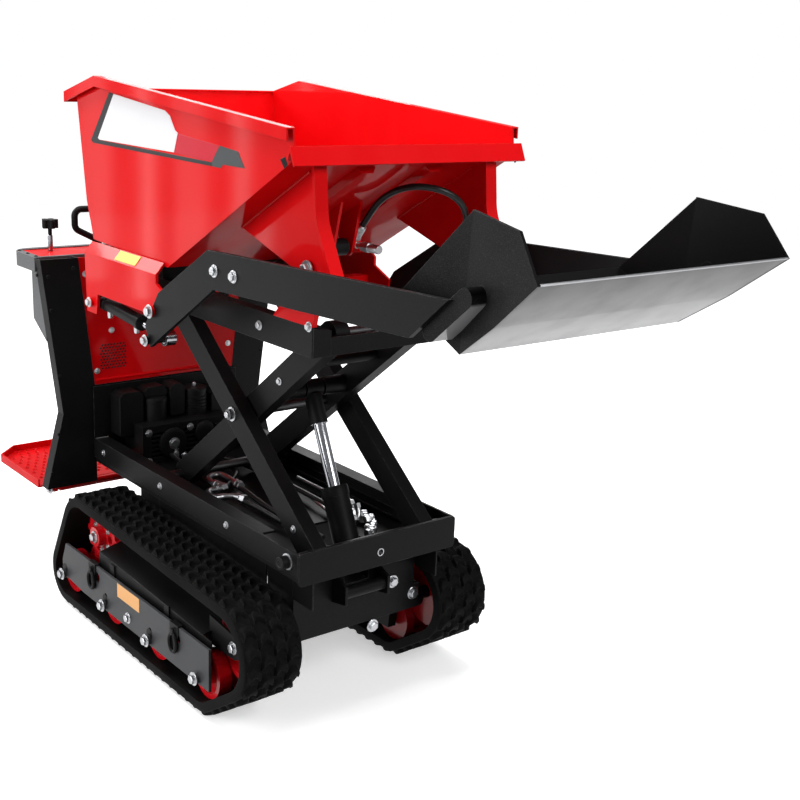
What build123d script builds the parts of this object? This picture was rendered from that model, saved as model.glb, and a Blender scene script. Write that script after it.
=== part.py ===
"""Tracked site dumper: a mini dumper on rubber tracks, with a scissor lift under its tipping skip
and a self-loading shovel on two arms.

Everything is in millimetres. While it is drawn, x runs forwards, y to the machine's left and z up
from the lug tips, with x = 0 just behind the front idlers. At the end every piece is moved along x
so that the origin stands under the middle of the machine's length.
"""
from build123d import *
from math import atan2, cos, degrees, hypot, pi, radians, sin, sqrt, tan
import os

# ---------------------------------------------------------------- driving sizes
# Undercarriage
TRACK_INSIDE = 210          # |y| of a track's inner edge
TRACK_WIDTH = 180
BELT = 18                   # rubber belt, without its lugs
LUG = 20                    # height of a lug over the belt
LUG_PITCH = 72
LUG_FOOT = 44               # length of a lug along the belt, at its root
LUG_TIP = 28                # and at its tip
ROLLER_R = 65
ROLLER_X = (-768, -496, -228, 33)
IDLER_X = 137
IDLER_Z = 217
IDLER_R = 101
IDLER_HALF = 20             # half its width; it runs in the rollers' grooves
GROOVE_HALF = 24            # half the width of a roller's groove
GROOVE_DEPTH = 18
SPROCKET_X = -650
SPROCKET_Z = 250
SPROCKET_R = 98
SPROCKET_HALF = 20
SIDE_PLATE_T = 8
SIDE_PLATE_TOP = 204
SIDE_PLATE_FOOT = 88
AXLE_R = 14
IDLER_AXLE_R = 18
WHEEL_PLAY = 1              # from a wheel's rim to the belt's inside
WHEEL_INSET = 30            # from the belt's edge to a roller's side
LASHING_X = (-543, -70)
LASHING_Z = 170
LASHING_R = 16

# Chassis
RAIL_HALF = 248             # |y| of a rail's outer face
RAIL_FRONT = 270
RAIL_FOOT = 430
RAIL_H = 60
SHEET = 6                   # folded sheet of rails, brackets and uprights
FLANGE = 44                 # flange of a rail, from its outer face inwards
FRONT_PLATE_H = 86
FRONT_PLATE_FOOT = 407
FRONT_PLATE_T = 8
TOW_HOLE_R = 10
DECK_T = 6
FRAME_INSET = 6             # from the belt's inner edge to the track frame
BEAM_FOOT = 205
BEAM_TOP = 275
ENGINE_TOP = 540

# Scissor lift
ARM_L = 452                 # from the crossing to each end
ARM_ANGLE = 37.7            # slope of the arms as the machine stands, in degrees
ARM_R = 34                  # half the height of an arm
ARM_T = 40
ARM_A_OUT = 190             # |y| of the outer pair's outer face
ARM_GAP = 6                 # between the outer and the inner pair
PIVOT_X = 230
SHAFT_R = 14
PIN_PLAY = 0.2
CHANNEL_PLAY = 1            # between a channel's flanges and the guide roller in it
BRACE_R = 13
BRACE_AT = 282              # from the crossing up the inner arms to their cross tube
LIFT_EYE_AT = 107           # from the crossing up the inner arms to the lift cylinder's eye

# Platform
PLATFORM_HALF = 229
PLATFORM_REAR = -742
PLATFORM_FRONT = 284
BAR_T = 14                  # platform's front cross bar
REAR_BAR_T = 36
BAR_H = 44
PLATFORM_H = 72
HINGE_X = 290
HINGE_Z = 1185
UPRIGHT_T = 13
HINGE_GAP = 5

# Cylinders
LIFT_BASE = (155, 376)
LIFT_BARREL_R = 35
LIFT_BARREL_L = 202
LIFT_ROD_R = 17
LIFT_ROD_L = 280
LIFT_SLEEVE_L = 76
TIP_BASE = (-420, 1012.8)
TIP_EYE = (60, 1190)
TIP_BARREL_R = 25
TIP_BARREL_L = 330
TIP_ROD_R = 15
TIP_ROD_L = 478
SMALL_PIN_R = 11
LOADER_BASE = (-610, 965)
LOADER_CRANK = (-230, 934)
LOADER_BARREL_R = 19
LOADER_BARREL_L = 240
LOADER_ROD_R = 9
LOADER_RAM_IN = 2           # from the skip's side wall in to the loader cylinders' middle
LOADER_RAM_EYE = 14         # half the width of their eyes
LOADER_ROD_L = 300

# Skip
SKIP_HALF = 322             # |y| of a side wall's outer face
SKIP_T = 5
RIM = 16                    # how far the rim stands out from the wall
LIP = 28                    # height of the rim's turned-down lip
RIM_T = 4
BACK_INSET = 47             # from the rear rim to the back wall, along the rim
SKIP_BACK = ((-690, 1237), (-652, 1132))
SKIP_FLOOR_FRONT = (-225, 1117)
SKIP_MOUTH = (338, 1434)
LOADER_RAM_Y = SKIP_HALF - LOADER_RAM_IN
RIM_LINE = ((-786, 1526), (-595, 1575), (330, 1501))
FRONT_LIP = ((336, 1433), (344, 1451), (357, 1421))
BRACKET_T = 10
BRACKET_KNEE = (346, 1300)          # bend in a bracket's front edge
BRACKET_TOE = (408, 1188)           # its lowest front corner
BRACKET_CURVE = 110                 # radius of the bend
FLANGE_T = 8                        # bracket's folded front flange
FLANGE_W = 34
RIB_Y = 100                         # |y| of the slope's stiffening ribs
RIB_HALF = 26
RIB_H = 16
RIB_RUN = (150, 600)                # from the slope's foot to each rib's ends
HOSE_R = 8
HOSE_ROUTE = ((84, 46, 1228), (120, 45, 1270), (171, 41, 1317), (227, 45, 1347), (281, 61, 1362),
              (320, 95, 1359), (338, 138, 1341), (332, 183, 1303), (297, 216, 1258))

# Loader
LOADER_PIVOT = (-204, 1014)
CRADLE_OUT = SKIP_HALF + 30         # |y| of the pin plate's outer face
CRADLE_T = 8
LOADER_ARM_OUT = CRADLE_OUT + 27    # |y| of an arm's outer face
LOADER_ARM_T = 12
ARM_OUTLINE = ((-217, 919), (-243, 971), (-171, 1066), (69, 1207), (920, 1237), (812, 1146), (96, 1118))
CRADLE_OUTLINE = ((-648, 1100), (-640, 935), (-580, 935), (-572, 992), (-285, 992), (-230, 984), (-172, 990),
                  (-165, 1045), (-235, 1076), (-235, 1100))
LEDGE_RISE = 28
LEDGE_GAP = 6               # between the ledge's inner edge and the skip's wall
SHOVEL_T = 6
SHOVEL_BACK = (705, 1210)   # rear lip
SHOVEL_HEEL = (890, 1123)
SHOVEL_BEND = (998, 1196)
SHOVEL_EDGE = (1120, 1292)
SHOVEL_HALF = (SKIP_HALF - 4, SKIP_HALF - 4, SKIP_HALF + 14, SKIP_HALF + 35)   # rear lip, heel, bend, edge
MOUNT_TUBE = ((858, 1166), (950, 1243))     # flat tube between an arm's end and the shovel's cheek
MOUNT_R = 20
CHEEK_TOP_REAR = (908, 1394)
CHEEK_TOP_FRONT = (1056, 1376)

# Tower and footboard
TOWER_X = -842              # front plane
TOWER_DEPTH = 40
TOWER_T = 5
TOWER_OUTER = ((401, 1050), (345, 580), (403, 351))      # (|y|, z) down a post's outer edge
TOWER_INNER = ((284, 1050), (241, 658), (241, 351))
CROSSBAR = (578, 658)
CONSOLE_DEPTH = 130
CONSOLE_FOOT = 800
CONSOLE_TOP_T = 42
CONSOLE_REAR = -1064
HANDLE_R = 10
HANDLE_TOP = 1180
FOOT_HINGE = (-924, 322)
FOOT_LENGTH = 392
FOOT_HALF = 390
FOOT_T = 5
FOOT_LIP = 26
FOOT_ARM_Y = TOWER_OUTER[-1][0] - 58    # |y| of the arms that hold the footboard's pin
FOOT_ARM_HALF = 6
FOOT_NOTCH = 34             # notches in the board's front edge, clear of the arms when it is folded up


# ---------------------------------------------------------------- helpers
def side_plane(y):
    """A plane at this y whose sketch axes are the machine's x and z; it extrudes towards -y."""
    return Plane(origin=(0, y, 0), x_dir=(1, 0, 0), z_dir=(0, -1, 0))


def slab(points, y_low, y_high):
    """A plate of this (x, z) outline between two y values."""
    outline = make_face(Polyline(*points, close=True))
    return extrude(side_plane(y_high) * outline, y_high - y_low)


def rod(point, radius, y_low, y_high):
    """A round bar along y through (x, z)."""
    return Pos(point[0], (y_low + y_high) / 2, point[1]) * Rot(90, 0, 0) * Cylinder(radius, y_high - y_low)


def link(start, end, radius, y_low, y_high):
    """A bar with round ends about two (x, z) points."""
    span = hypot(end[0] - start[0], end[1] - start[1])
    turn = degrees(atan2(end[1] - start[1], end[0] - start[0]))
    middle = ((start[0] + end[0]) / 2, (start[1] + end[1]) / 2)
    outline = Pos(middle[0], middle[1]) * Rot(0, 0, turn) * SlotCenterToCenter(span, 2 * radius)
    return extrude(side_plane(y_high) * outline, y_high - y_low)


def box(x_low, x_high, y_low, y_high, z_low, z_high):
    """A block between two corners."""
    size = (x_high - x_low, y_high - y_low, z_high - z_low)
    return Pos((x_low + x_high) / 2, (y_low + y_high) / 2, (z_low + z_high) / 2) * Box(*size)


def along(start, end, distance):
    """The (x, z) point at this distance from start towards end."""
    span = hypot(end[0] - start[0], end[1] - start[1])
    share = distance / span
    return (start[0] + share * (end[0] - start[0]), start[1] + share * (end[1] - start[1]))


def cylinder_piece(start, end, radius, y=0):
    """A round bar along the line from start to end, both (x, z), at this y."""
    span = hypot(end[0] - start[0], end[1] - start[1])
    plane = Plane(origin=(start[0], y, start[1]), z_dir=(end[0] - start[0], 0, end[1] - start[1]))
    return extrude(plane * Circle(radius), span)


def strip(points, thickness, y_low, y_high):
    """Sheet folded along a line of (x, z) points; its thickness lies to the left of the line."""
    normals = []
    for a, b in zip(points, points[1:]):
        span = hypot(b[0] - a[0], b[1] - a[1])
        normals.append((-(b[1] - a[1]) / span, (b[0] - a[0]) / span))
    inner = []
    for i, (x, z) in enumerate(points):
        before = normals[max(i - 1, 0)]
        after = normals[min(i, len(normals) - 1)]
        mitre = (before[0] + after[0], before[1] + after[1])
        reach = 2 * thickness / (mitre[0] ** 2 + mitre[1] ** 2)
        inner.append((x + mitre[0] * reach, z + mitre[1] * reach))
    return slab(list(points) + inner[::-1], y_low, y_high)


def sheet_between(start, end, half_start, half_end, thickness):
    """A plate across the machine from start to end, both (x, z), with its own width at each."""
    span = hypot(end[0] - start[0], end[1] - start[1])
    run = ((end[0] - start[0]) / span, (end[1] - start[1]) / span)
    plane = Plane(origin=(start[0], 0, start[1]), x_dir=(run[0], 0, run[1]), z_dir=(-run[1], 0, run[0]))
    outline = Polyline((0, -half_start), (span, -half_end), (span, half_end), (0, half_start), close=True)
    return extrude(plane * make_face(outline), thickness)


def to_left(shape):
    """The mirror image of a right-hand piece."""
    return mirror(shape, Plane.XZ)


pieces = {}


def keep(name, shape):
    """Files one piece under its name."""
    pieces[name] = shape


def keep_pair(name, shape):
    """Files a right-hand piece and its mirror image."""
    keep(name + "_right", shape)
    keep(name + "_left", to_left(shape))


# ---------------------------------------------------------------- derived places
AXLE_Z = ROLLER_R + BELT + LUG
TRACK_OUTSIDE = TRACK_INSIDE + TRACK_WIDTH
TRACK_MIDDLE = (TRACK_INSIDE + TRACK_OUTSIDE) / 2
AXLE_END = -TRACK_OUTSIDE + WHEEL_INSET - 7        # y of the right-hand axles' outer ends
RAIL_TOP = RAIL_FOOT + RAIL_H
RAIL_REAR = TOWER_X
PIVOT = (PIVOT_X, RAIL_FOOT + RAIL_H / 2)
slope = (cos(radians(ARM_ANGLE)), sin(radians(ARM_ANGLE)))
CROSSING = (PIVOT[0] - ARM_L * slope[0], PIVOT[1] + ARM_L * slope[1])
TOP_PIVOT = (PIVOT[0], CROSSING[1] + ARM_L * slope[1])
A_TOP = (CROSSING[0] - ARM_L * slope[0], TOP_PIVOT[1])
B_FOOT = (A_TOP[0], PIVOT[1])
LIFT_EYE = along(CROSSING, TOP_PIVOT, LIFT_EYE_AT)
ARM_A_IN = ARM_A_OUT - ARM_T
ARM_B_OUT = ARM_A_IN - ARM_GAP
ARM_B_IN = ARM_B_OUT - ARM_T
PLATFORM_FOOT = TOP_PIVOT[1] - PLATFORM_H / 2
PLATFORM_TOP = PLATFORM_FOOT + PLATFORM_H
HINGE = (HINGE_X, HINGE_Z)
FOOT_REAR = FOOT_HINGE[0] - FOOT_LENGTH
TRAY_TOP = TOWER_OUTER[0][1] + 2


# ---------------------------------------------------------------- undercarriage
def belt_path(offset):
    """The track's path round its wheels at this distance from them: a list of straight runs
    (start, end, outward normal) taken against the clock as seen from the machine's right."""
    wheels = ((ROLLER_X[0], AXLE_Z, ROLLER_R), (ROLLER_X[-1], AXLE_Z, ROLLER_R),
              (IDLER_X, IDLER_Z, IDLER_R), (SPROCKET_X, SPROCKET_Z, SPROCKET_R))
    runs = []
    for i, (x0, z0, r0) in enumerate(wheels):
        x1, z1, r1 = wheels[(i + 1) % len(wheels)]
        span = hypot(x1 - x0, z1 - z0)
        along_run = ((x1 - x0) / span, (z1 - z0) / span)
        lean = (r0 - r1) / span
        out = sqrt(1 - lean ** 2)
        normal = (lean * along_run[0] + out * along_run[1], lean * along_run[1] - out * along_run[0])
        start = (x0 + (r0 + offset) * normal[0], z0 + (r0 + offset) * normal[1])
        end = (x1 + (r1 + offset) * normal[0], z1 + (r1 + offset) * normal[1])
        runs.append((start, end, normal, (x1, z1), r1 + offset))
    return runs


def belt_face(offset):
    """The area inside the path at this distance from the wheels."""
    runs = belt_path(offset)
    edges = []
    for i, (start, end, normal, centre, radius) in enumerate(runs):
        next_start, _, next_normal, _, _ = runs[(i + 1) % len(runs)]
        middle = (normal[0] + next_normal[0], normal[1] + next_normal[1])
        size = hypot(*middle)
        crest = (centre[0] + radius * middle[0] / size, centre[1] + radius * middle[1] / size)
        edges.append(Line(start, end))
        edges.append(ThreePointArc(end, crest, next_start))
    return make_face(edges)


def belt_stations(offset, count, phase):
    """Evenly spaced points on the path, each with its outward normal."""
    runs = belt_path(offset)
    legs = []
    for i, (start, end, normal, centre, radius) in enumerate(runs):
        legs.append(("run", start, end, normal, hypot(end[0] - start[0], end[1] - start[1])))
        next_normal = runs[(i + 1) % len(runs)][2]
        first = atan2(normal[1], normal[0])
        sweep = (atan2(next_normal[1], next_normal[0]) - first) % (2 * pi)
        legs.append(("arc", centre, radius, first, radius * sweep))
    total = sum(leg[-1] for leg in legs)
    stations = []
    for k in range(count):
        distance = total * ((k + phase) / count % 1)
        for leg in legs:
            if distance <= leg[-1]:
                break
            distance -= leg[-1]
        if leg[0] == "run":
            share = distance / leg[-1]
            point = tuple(leg[1][j] + share * (leg[2][j] - leg[1][j]) for j in (0, 1))
            stations.append((point, leg[3]))
        else:
            angle = leg[3] + distance / leg[2]
            normal = (cos(angle), sin(angle))
            stations.append(((leg[1][0] + leg[2] * normal[0], leg[1][1] + leg[2] * normal[1]), normal))
    return stations, total


def track(y_low, y_high, rows=2):
    """One rubber track: the belt with rows of staggered lugs, each row half a pitch behind the last."""
    _, length = belt_stations(BELT, 1, 0)
    count = round(length / LUG_PITCH)
    ring = belt_face(BELT) - belt_face(0)
    row_width = (y_high - y_low) / rows
    body = None
    for row in range(rows):
        outline = ring
        stations, _ = belt_stations(BELT, count, row / rows)
        for (x, z), (nx, nz) in stations:
            tx, tz = -nz, nx
            foot, tip, sunk = LUG_FOOT / 2, LUG_TIP / 2, BELT / 2
            corners = ((-foot, -sunk), (foot, -sunk), (foot, 0), (tip, LUG), (-tip, LUG), (-foot, 0))
            tooth = [(x + a * tx + b * nx, z + a * tz + b * nz) for a, b in corners]
            outline += make_face(Polyline(*tooth, close=True))
        y_top = y_low + (row + 1) * row_width
        layer = extrude(side_plane(y_top) * outline, row_width)
        body = layer if body is None else body + layer
    return body


def road_rollers():
    """Four double-flanged rollers of the right-hand track."""
    inner, outer = -TRACK_OUTSIDE + WHEEL_INSET, -TRACK_INSIDE - 40
    group = []
    for x in ROLLER_X:
        centre = (x, AXLE_Z)
        wheel = rod(centre, ROLLER_R - WHEEL_PLAY, inner, outer)
        groove = rod(centre, ROLLER_R + 5, -TRACK_MIDDLE - GROOVE_HALF, -TRACK_MIDDLE + GROOVE_HALF)
        core = rod(centre, ROLLER_R - GROOVE_DEPTH, inner + 20, outer)
        dish = rod(centre, ROLLER_R - 14, inner - 1, inner + 16)
        hub = rod(centre, 26, inner - 6, inner + 20)
        bore = rod(centre, AXLE_R + PIN_PLAY, inner - 7, outer + 1)
        group.append(wheel - groove - dish + core + hub - bore)
    return Compound(children=group)


def idler():
    """Front idler of the right-hand track: a dished rim round its hub."""
    outer_face, inner_face = -TRACK_MIDDLE - IDLER_HALF, -TRACK_MIDDLE + IDLER_HALF
    centre = (IDLER_X, IDLER_Z)
    wheel = rod(centre, IDLER_R - WHEEL_PLAY, outer_face, inner_face)
    wheel -= rod(centre, IDLER_R - 15, outer_face - 1, outer_face + 24)
    wheel += rod(centre, 38, outer_face - 2, outer_face + 25)
    return wheel - rod(centre, IDLER_AXLE_R + PIN_PLAY, outer_face - 3, inner_face + 1)


def sprocket():
    """Drive sprocket of the right-hand track, with its hub and lightening holes."""
    centre = (SPROCKET_X, SPROCKET_Z)
    teeth = 12
    outer_face, inner_face = -TRACK_MIDDLE - SPROCKET_HALF, -TRACK_MIDDLE + SPROCKET_HALF
    body = rod(centre, SPROCKET_R - 14, outer_face, inner_face)
    for k in range(teeth):
        angle = 2 * pi * k / teeth
        tip = along(centre, (centre[0] + cos(angle), centre[1] + sin(angle)), SPROCKET_R - 12)
        body += link(along(centre, tip, SPROCKET_R - 30), tip, 10, outer_face, inner_face)
    for k in range(6):
        angle = 2 * pi * k / 6
        hole = (centre[0] + 52 * cos(angle), centre[1] + 52 * sin(angle))
        body -= rod(hole, 13, outer_face - 1, inner_face + 1)
    return body + rod(centre, 30, outer_face - 24, inner_face)


def track_frame():
    """The beam inside the right-hand track, with the axles of its wheels and the drive motor."""
    y_out, y_in = -TRACK_INSIDE - 34, -TRACK_INSIDE - FRAME_INSET
    outline = ((ROLLER_X[0] - 22, 88), (ROLLER_X[0] - 22, 120), (-715, 190), (-715, 290), (-585, 290),
               (-560, 262), (60, 262), (60, 150), (ROLLER_X[-1] + 20, 88))
    beam = slab(outline, y_out, y_in)
    beam += link((60, 228), (IDLER_X, IDLER_Z), 32, y_out, y_in)
    beam += rod((SPROCKET_X, SPROCKET_Z), 62, -TRACK_MIDDLE + SPROCKET_HALF, y_in)
    for x in ROLLER_X:
        beam += rod((x, AXLE_Z), AXLE_R, AXLE_END, y_in)
    return beam + rod((IDLER_X, IDLER_Z), IDLER_AXLE_R, -TRACK_MIDDLE - IDLER_HALF - 10, y_in)


def side_plate():
    """The black guard outside the right-hand rollers, with the axle bolts and lashing eyes."""
    y_out = -TRACK_OUTSIDE + 1
    y_in = y_out + SIDE_PLATE_T
    front = ROLLER_X[-1] + 59
    outline = ((-781, 146), (-755, SIDE_PLATE_TOP), (front, SIDE_PLATE_TOP), (front, SIDE_PLATE_FOOT),
               (-640, SIDE_PLATE_FOOT), (-781, 100))
    plate = slab(outline, y_out, y_in)
    for x in (ROLLER_X[1] + 8, ROLLER_X[2] + 8):
        plate -= link((x, 112), (x, 132), 9, y_out - 1, y_in + 1)
    for x in LASHING_X:
        plate -= rod((x, LASHING_Z), LASHING_R, y_out - 1, y_in + 1)
    for x in ROLLER_X:
        plate += rod((x, AXLE_Z), AXLE_R + 4, y_in, AXLE_END)
        plate += rod((x, AXLE_Z), AXLE_R, y_out - 10, y_out)
    return plate


keep_pair("track", track(-TRACK_OUTSIDE, -TRACK_INSIDE))
keep_pair("road_rollers", road_rollers())
keep_pair("idler", idler())
keep_pair("sprocket", sprocket())
keep_pair("track_frame", track_frame())
keep_pair("side_plate", side_plate())


# ---------------------------------------------------------------- chassis
def frame_rail():
    """Right-hand chassis rail: a channel whose flanges stop short of the arms' pivot."""
    web = box(RAIL_REAR, RAIL_FRONT, -RAIL_HALF, -RAIL_HALF + SHEET, RAIL_FOOT, RAIL_TOP)
    flange_front = PIVOT_X - 2 * ARM_R - 60
    for z in (RAIL_FOOT, RAIL_TOP - SHEET):
        web += box(RAIL_REAR, flange_front, -RAIL_HALF, -RAIL_HALF + FLANGE, z, z + SHEET)
    return web - rod(PIVOT, SHAFT_R + PIN_PLAY, -RAIL_HALF - 1, 0)


def front_plate():
    """Folded front cross member with rounded lower corners, joining the rails."""
    z_low, z_high = FRONT_PLATE_FOOT, FRONT_PLATE_FOOT + FRONT_PLATE_H
    plate = box(RAIL_FRONT, RAIL_FRONT + FRONT_PLATE_T, -RAIL_HALF, RAIL_HALF, z_low, z_high)
    plate = fillet(plate.edges().filter_by(Axis.X), 10)
    hole = Pos(RAIL_FRONT, 0, z_low + FRONT_PLATE_H * 0.45) * Rot(0, 90, 0)
    return plate - hole * Cylinder(TOW_HOLE_R, 4 * FRONT_PLATE_T)


def deck_plate():
    """Floor sheet between the rails, open under the lift cylinder."""
    top = PIVOT[1] - ARM_R - 6
    half = RAIL_HALF - SHEET
    sheet = box(RAIL_REAR, RAIL_FRONT, -half, half, top - DECK_T, top)
    for side in (-1, 1):
        low, high = sorted((side * (half - DECK_T), side * half))
        sheet += box(RAIL_REAR, RAIL_FRONT, low, high, top - DECK_T, RAIL_FOOT)
    return sheet - box(-30, 225, -60, 60, top - 2 * DECK_T, top + DECK_T)


def cross_beam(x_low, x_high):
    """A beam between the two track frames, inside the belts' loops, with a riser up to the deck."""
    frame_face = TRACK_INSIDE + FRAME_INSET
    beam = box(x_low, x_high, -frame_face, frame_face, BEAM_FOOT, BEAM_TOP)
    riser_half = TRACK_INSIDE - 14
    riser_top = PIVOT[1] - ARM_R - 6 - DECK_T
    return beam + box(x_low, x_high, -riser_half, riser_half, BEAM_TOP - 1, riser_top)


def lift_base():
    """Front beam with the pocket and pin that hold the lift cylinder's foot."""
    beam = cross_beam(60, 180)
    pocket = box(50, 240, -40, 40, 330, 500)
    return beam - pocket + rod(LIFT_BASE, SHAFT_R, -41, 41)


keep_pair("frame_rail", frame_rail())
keep("front_plate", front_plate())
keep("deck_plate", deck_plate())
keep("front_beam", lift_base())
keep("rear_beam", cross_beam(-640, -520))
keep("front_shaft", rod(PIVOT, SHAFT_R, -RAIL_HALF - 24, RAIL_HALF + 24))


def engine():
    """Engine and pump behind the scissor lift, as a closed block with its cooling fins."""
    x_low, x_high = TOWER_X + 8, -712
    top = PIVOT[1] - ARM_R - 6
    block = box(x_low, x_high, -150, 150, top, ENGINE_TOP)
    for k in range(6):
        block -= box(x_high - 22, x_high + 1, -120, 120, top + 20 + 14 * k, top + 27 + 14 * k)
    for y, height in ((70, 74), (-70, 60)):
        block += Pos(x_low + 44, y, ENGINE_TOP + height / 2) * Cylinder(38, height)
    return block


keep("engine", engine())


# ---------------------------------------------------------------- tower and footboard
def tower_post():
    """Right-hand post: a waisted sheet with a flange folded back from its outer edge."""
    outer = [(-y, z) for y, z in TOWER_OUTER]
    inner = [(-y, z) for y, z in TOWER_INNER]
    front = Plane(origin=(TOWER_X, 0, 0), x_dir=(0, 1, 0), z_dir=(1, 0, 0))
    face = make_face(Polyline(*outer, *inner[::-1], close=True))
    sheet = extrude(front * face, -TOWER_T)
    flange_line = outer + [(y + TOWER_T, z) for y, z in outer[::-1]]
    flange = extrude(front * make_face(Polyline(*flange_line, close=True)), -TOWER_DEPTH)
    inner_line = inner + [(y - TOWER_T, z) for y, z in inner[::-1]]
    return_flange = extrude(front * make_face(Polyline(*inner_line, close=True)), -TOWER_DEPTH)
    return sheet + flange + return_flange


def console():
    """Closed housing behind the panel, sloping in to the posts at its foot."""
    rear = TOWER_X - CONSOLE_DEPTH
    back = TOWER_X - TOWER_DEPTH
    top = TRAY_TOP - CONSOLE_TOP_T
    profile = ((back, CONSOLE_FOOT), (back, top), (rear, top), (rear, CONSOLE_FOOT + 55))
    return slab(profile, -TOWER_OUTER[0][0] + 28, TOWER_OUTER[0][0] - 28)


def console_top():
    """Tray on top of the tower with rounded rear corners and a sunk panel."""
    top = TRAY_TOP
    half = TOWER_OUTER[0][0]
    foot = top - CONSOLE_TOP_T
    tray = box(CONSOLE_REAR, TOWER_X - TOWER_DEPTH, -half, half, foot, top)
    tray = fillet(tray.edges().filter_by(Axis.Z).sort_by(Axis.X)[:2], 60)
    return tray - box(CONSOLE_REAR + 24, TOWER_X - TOWER_DEPTH - 14, -half + 24, half - 24, top - 8, top + 1)


def console_panel():
    """Red panel lying in the tray."""
    top = TRAY_TOP
    half = TOWER_OUTER[0][0]
    return box(CONSOLE_REAR + 25, TOWER_X - TOWER_DEPTH - 15, -half + 25, half - 25, top - 8, top - 3)


def tower_panel():
    """Red sheet across the front of the tower, between the posts."""
    (top_y, top_z), (low_y, low_z) = TOWER_INNER[:2]
    front = Plane(origin=(TOWER_X - 2, 0, 0), x_dir=(0, 1, 0), z_dir=(1, 0, 0))
    outline = Polyline((-top_y, top_z), (-low_y, low_z), (low_y, low_z), (top_y, top_z), close=True)
    return extrude(front * make_face(outline), -4)


def crossbar():
    """Box bar across the tower under the panel."""
    half = TOWER_INNER[1][0]
    return box(TOWER_X - TOWER_DEPTH, TOWER_X, -half, half, *CROSSBAR)


def grab_handle():
    """Bent tube handle standing on the tray."""
    half = 220
    x_low, x_top = -985, -1000
    foot = TOWER_OUTER[0][1] - 1
    points = [(x_low, -half + 70, foot), (x_low, -half + 70, foot + 25), (x_top, -half, foot + 62),
              (x_top, -half, HANDLE_TOP - HANDLE_R)]
    points += [(x, -y, z) for x, y, z in points[::-1]]
    path = FilletPolyline(*points, radius=22)
    ring = Plane(origin=path @ 0, z_dir=path % 0) * Circle(HANDLE_R)
    return sweep(ring, path=path)


def star_knob():
    """Lever with a star knob at the tray's right-hand rear corner."""
    place = (-1000, -300)
    foot = TOWER_OUTER[0][1] - 1
    stem = Pos(place[0], place[1], foot + 35) * Cylinder(6, 70)
    knob = Pos(place[0], place[1], foot + 82) * Cylinder(17, 26)
    for k in range(5):
        angle = 2 * pi * k / 5
        knob += Pos(place[0] + 17 * cos(angle), place[1] + 17 * sin(angle), foot + 82) * Cylinder(8, 26)
    return stem + knob


keep_pair("tower_post", tower_post())
keep("tower_panel", tower_panel())
keep("tower_crossbar", crossbar())
keep("console", console())
keep("console_top", console_top())
keep("console_panel", console_panel())
keep("handles", grab_handle() + star_knob())


def footboard():
    """Standing board with turned-up lips and chamfered rear corners, on its hinge barrel."""
    x_front, x_rear = FOOT_HINGE[0] - 20, FOOT_REAR
    z_low, z_top = FOOT_HINGE[1] + 3, FOOT_HINGE[1] + 3 + FOOT_LIP
    cut = 70
    outline = Polyline((x_front, -FOOT_HALF), (x_rear + cut, -FOOT_HALF), (x_rear, -FOOT_HALF + cut),
                       (x_rear, FOOT_HALF - cut), (x_rear + cut, FOOT_HALF), (x_front, FOOT_HALF), close=True)
    inside = Polyline((x_front + 1, -FOOT_HALF + FOOT_T), (x_rear + cut + 2, -FOOT_HALF + FOOT_T),
                      (x_rear + FOOT_T, -FOOT_HALF + cut + 2), (x_rear + FOOT_T, FOOT_HALF - cut - 2),
                      (x_rear + cut + 2, FOOT_HALF - FOOT_T), (x_front + 1, FOOT_HALF - FOOT_T), close=True)
    tray = extrude(Pos(0, 0, z_low) * make_face(outline), z_top - z_low)
    tray -= extrude(Pos(0, 0, z_low + FOOT_T) * make_face(inside), z_top)
    clear = 2 * FOOT_ARM_HALF
    for y in (-FOOT_ARM_Y, FOOT_ARM_Y):
        tray -= box(x_front - FOOT_NOTCH, x_front + 1, y - clear, y + clear, z_low - 1, z_top)
    reach = FOOT_ARM_Y - clear - 3
    knuckle = rod(FOOT_HINGE, 12, -reach, reach) - rod(FOOT_HINGE, 7 + PIN_PLAY, -reach - 1, reach + 1)
    tongue = box(x_front - 40, FOOT_HINGE[0], -reach, reach, z_low, z_low + 4)
    tongue -= rod(FOOT_HINGE, 11, -reach - 1, reach + 1)
    return tray + knuckle + tongue


def foot_bracket():
    """Hinge pin of the footboard with the two arms that hold it on the posts."""
    reach = FOOT_ARM_Y + 2 * FOOT_ARM_HALF + 3
    bracket = rod(FOOT_HINGE, 7, -reach, reach)
    for y in (-FOOT_ARM_Y, FOOT_ARM_Y):
        y_low, y_high = y - FOOT_ARM_HALF, y + FOOT_ARM_HALF
        arm = link(FOOT_HINGE, (TOWER_X - TOWER_DEPTH - 14, FOOT_HINGE[1] + 55), 12, y_low, y_high)
        arm += box(TOWER_X - TOWER_DEPTH - 14, TOWER_X - TOWER_T, y_low, y_high,
                   FOOT_HINGE[1] + 43, FOOT_HINGE[1] + 67)
        bracket += arm
    return bracket


keep("footboard", footboard())
keep("foot_bracket", foot_bracket())


# ---------------------------------------------------------------- scissor lift
def outer_arm():
    """Right-hand arm of the outer pair: low at the front, high at the rear."""
    arm = link(PIVOT, A_TOP, ARM_R, -ARM_A_OUT, -ARM_A_IN)
    bore = rod(PIVOT, SHAFT_R + PIN_PLAY, -ARM_A_OUT - 1, 0) + rod(CROSSING, SHAFT_R, -ARM_A_OUT - 1, 0)
    return arm - bore - rod(A_TOP, SHAFT_R, -ARM_A_OUT - 1, 0)


def outer_shafts():
    """Crossing pin and upper roller shaft of the outer pair, with the guide rollers."""
    reach = PLATFORM_HALF - SHEET - 3
    crossing = rod(CROSSING, SHAFT_R, -ARM_A_OUT - 14, ARM_A_OUT + 14)
    top = rod(A_TOP, SHAFT_R, -reach, reach)
    for side in (-1, 1):
        middle = side * (ARM_A_OUT + reach) / 2 + side * 2
        top += rod(A_TOP, PLATFORM_H / 2 - SHEET - CHANNEL_PLAY, middle - 12, middle + 12)
    return crossing, top


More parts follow.
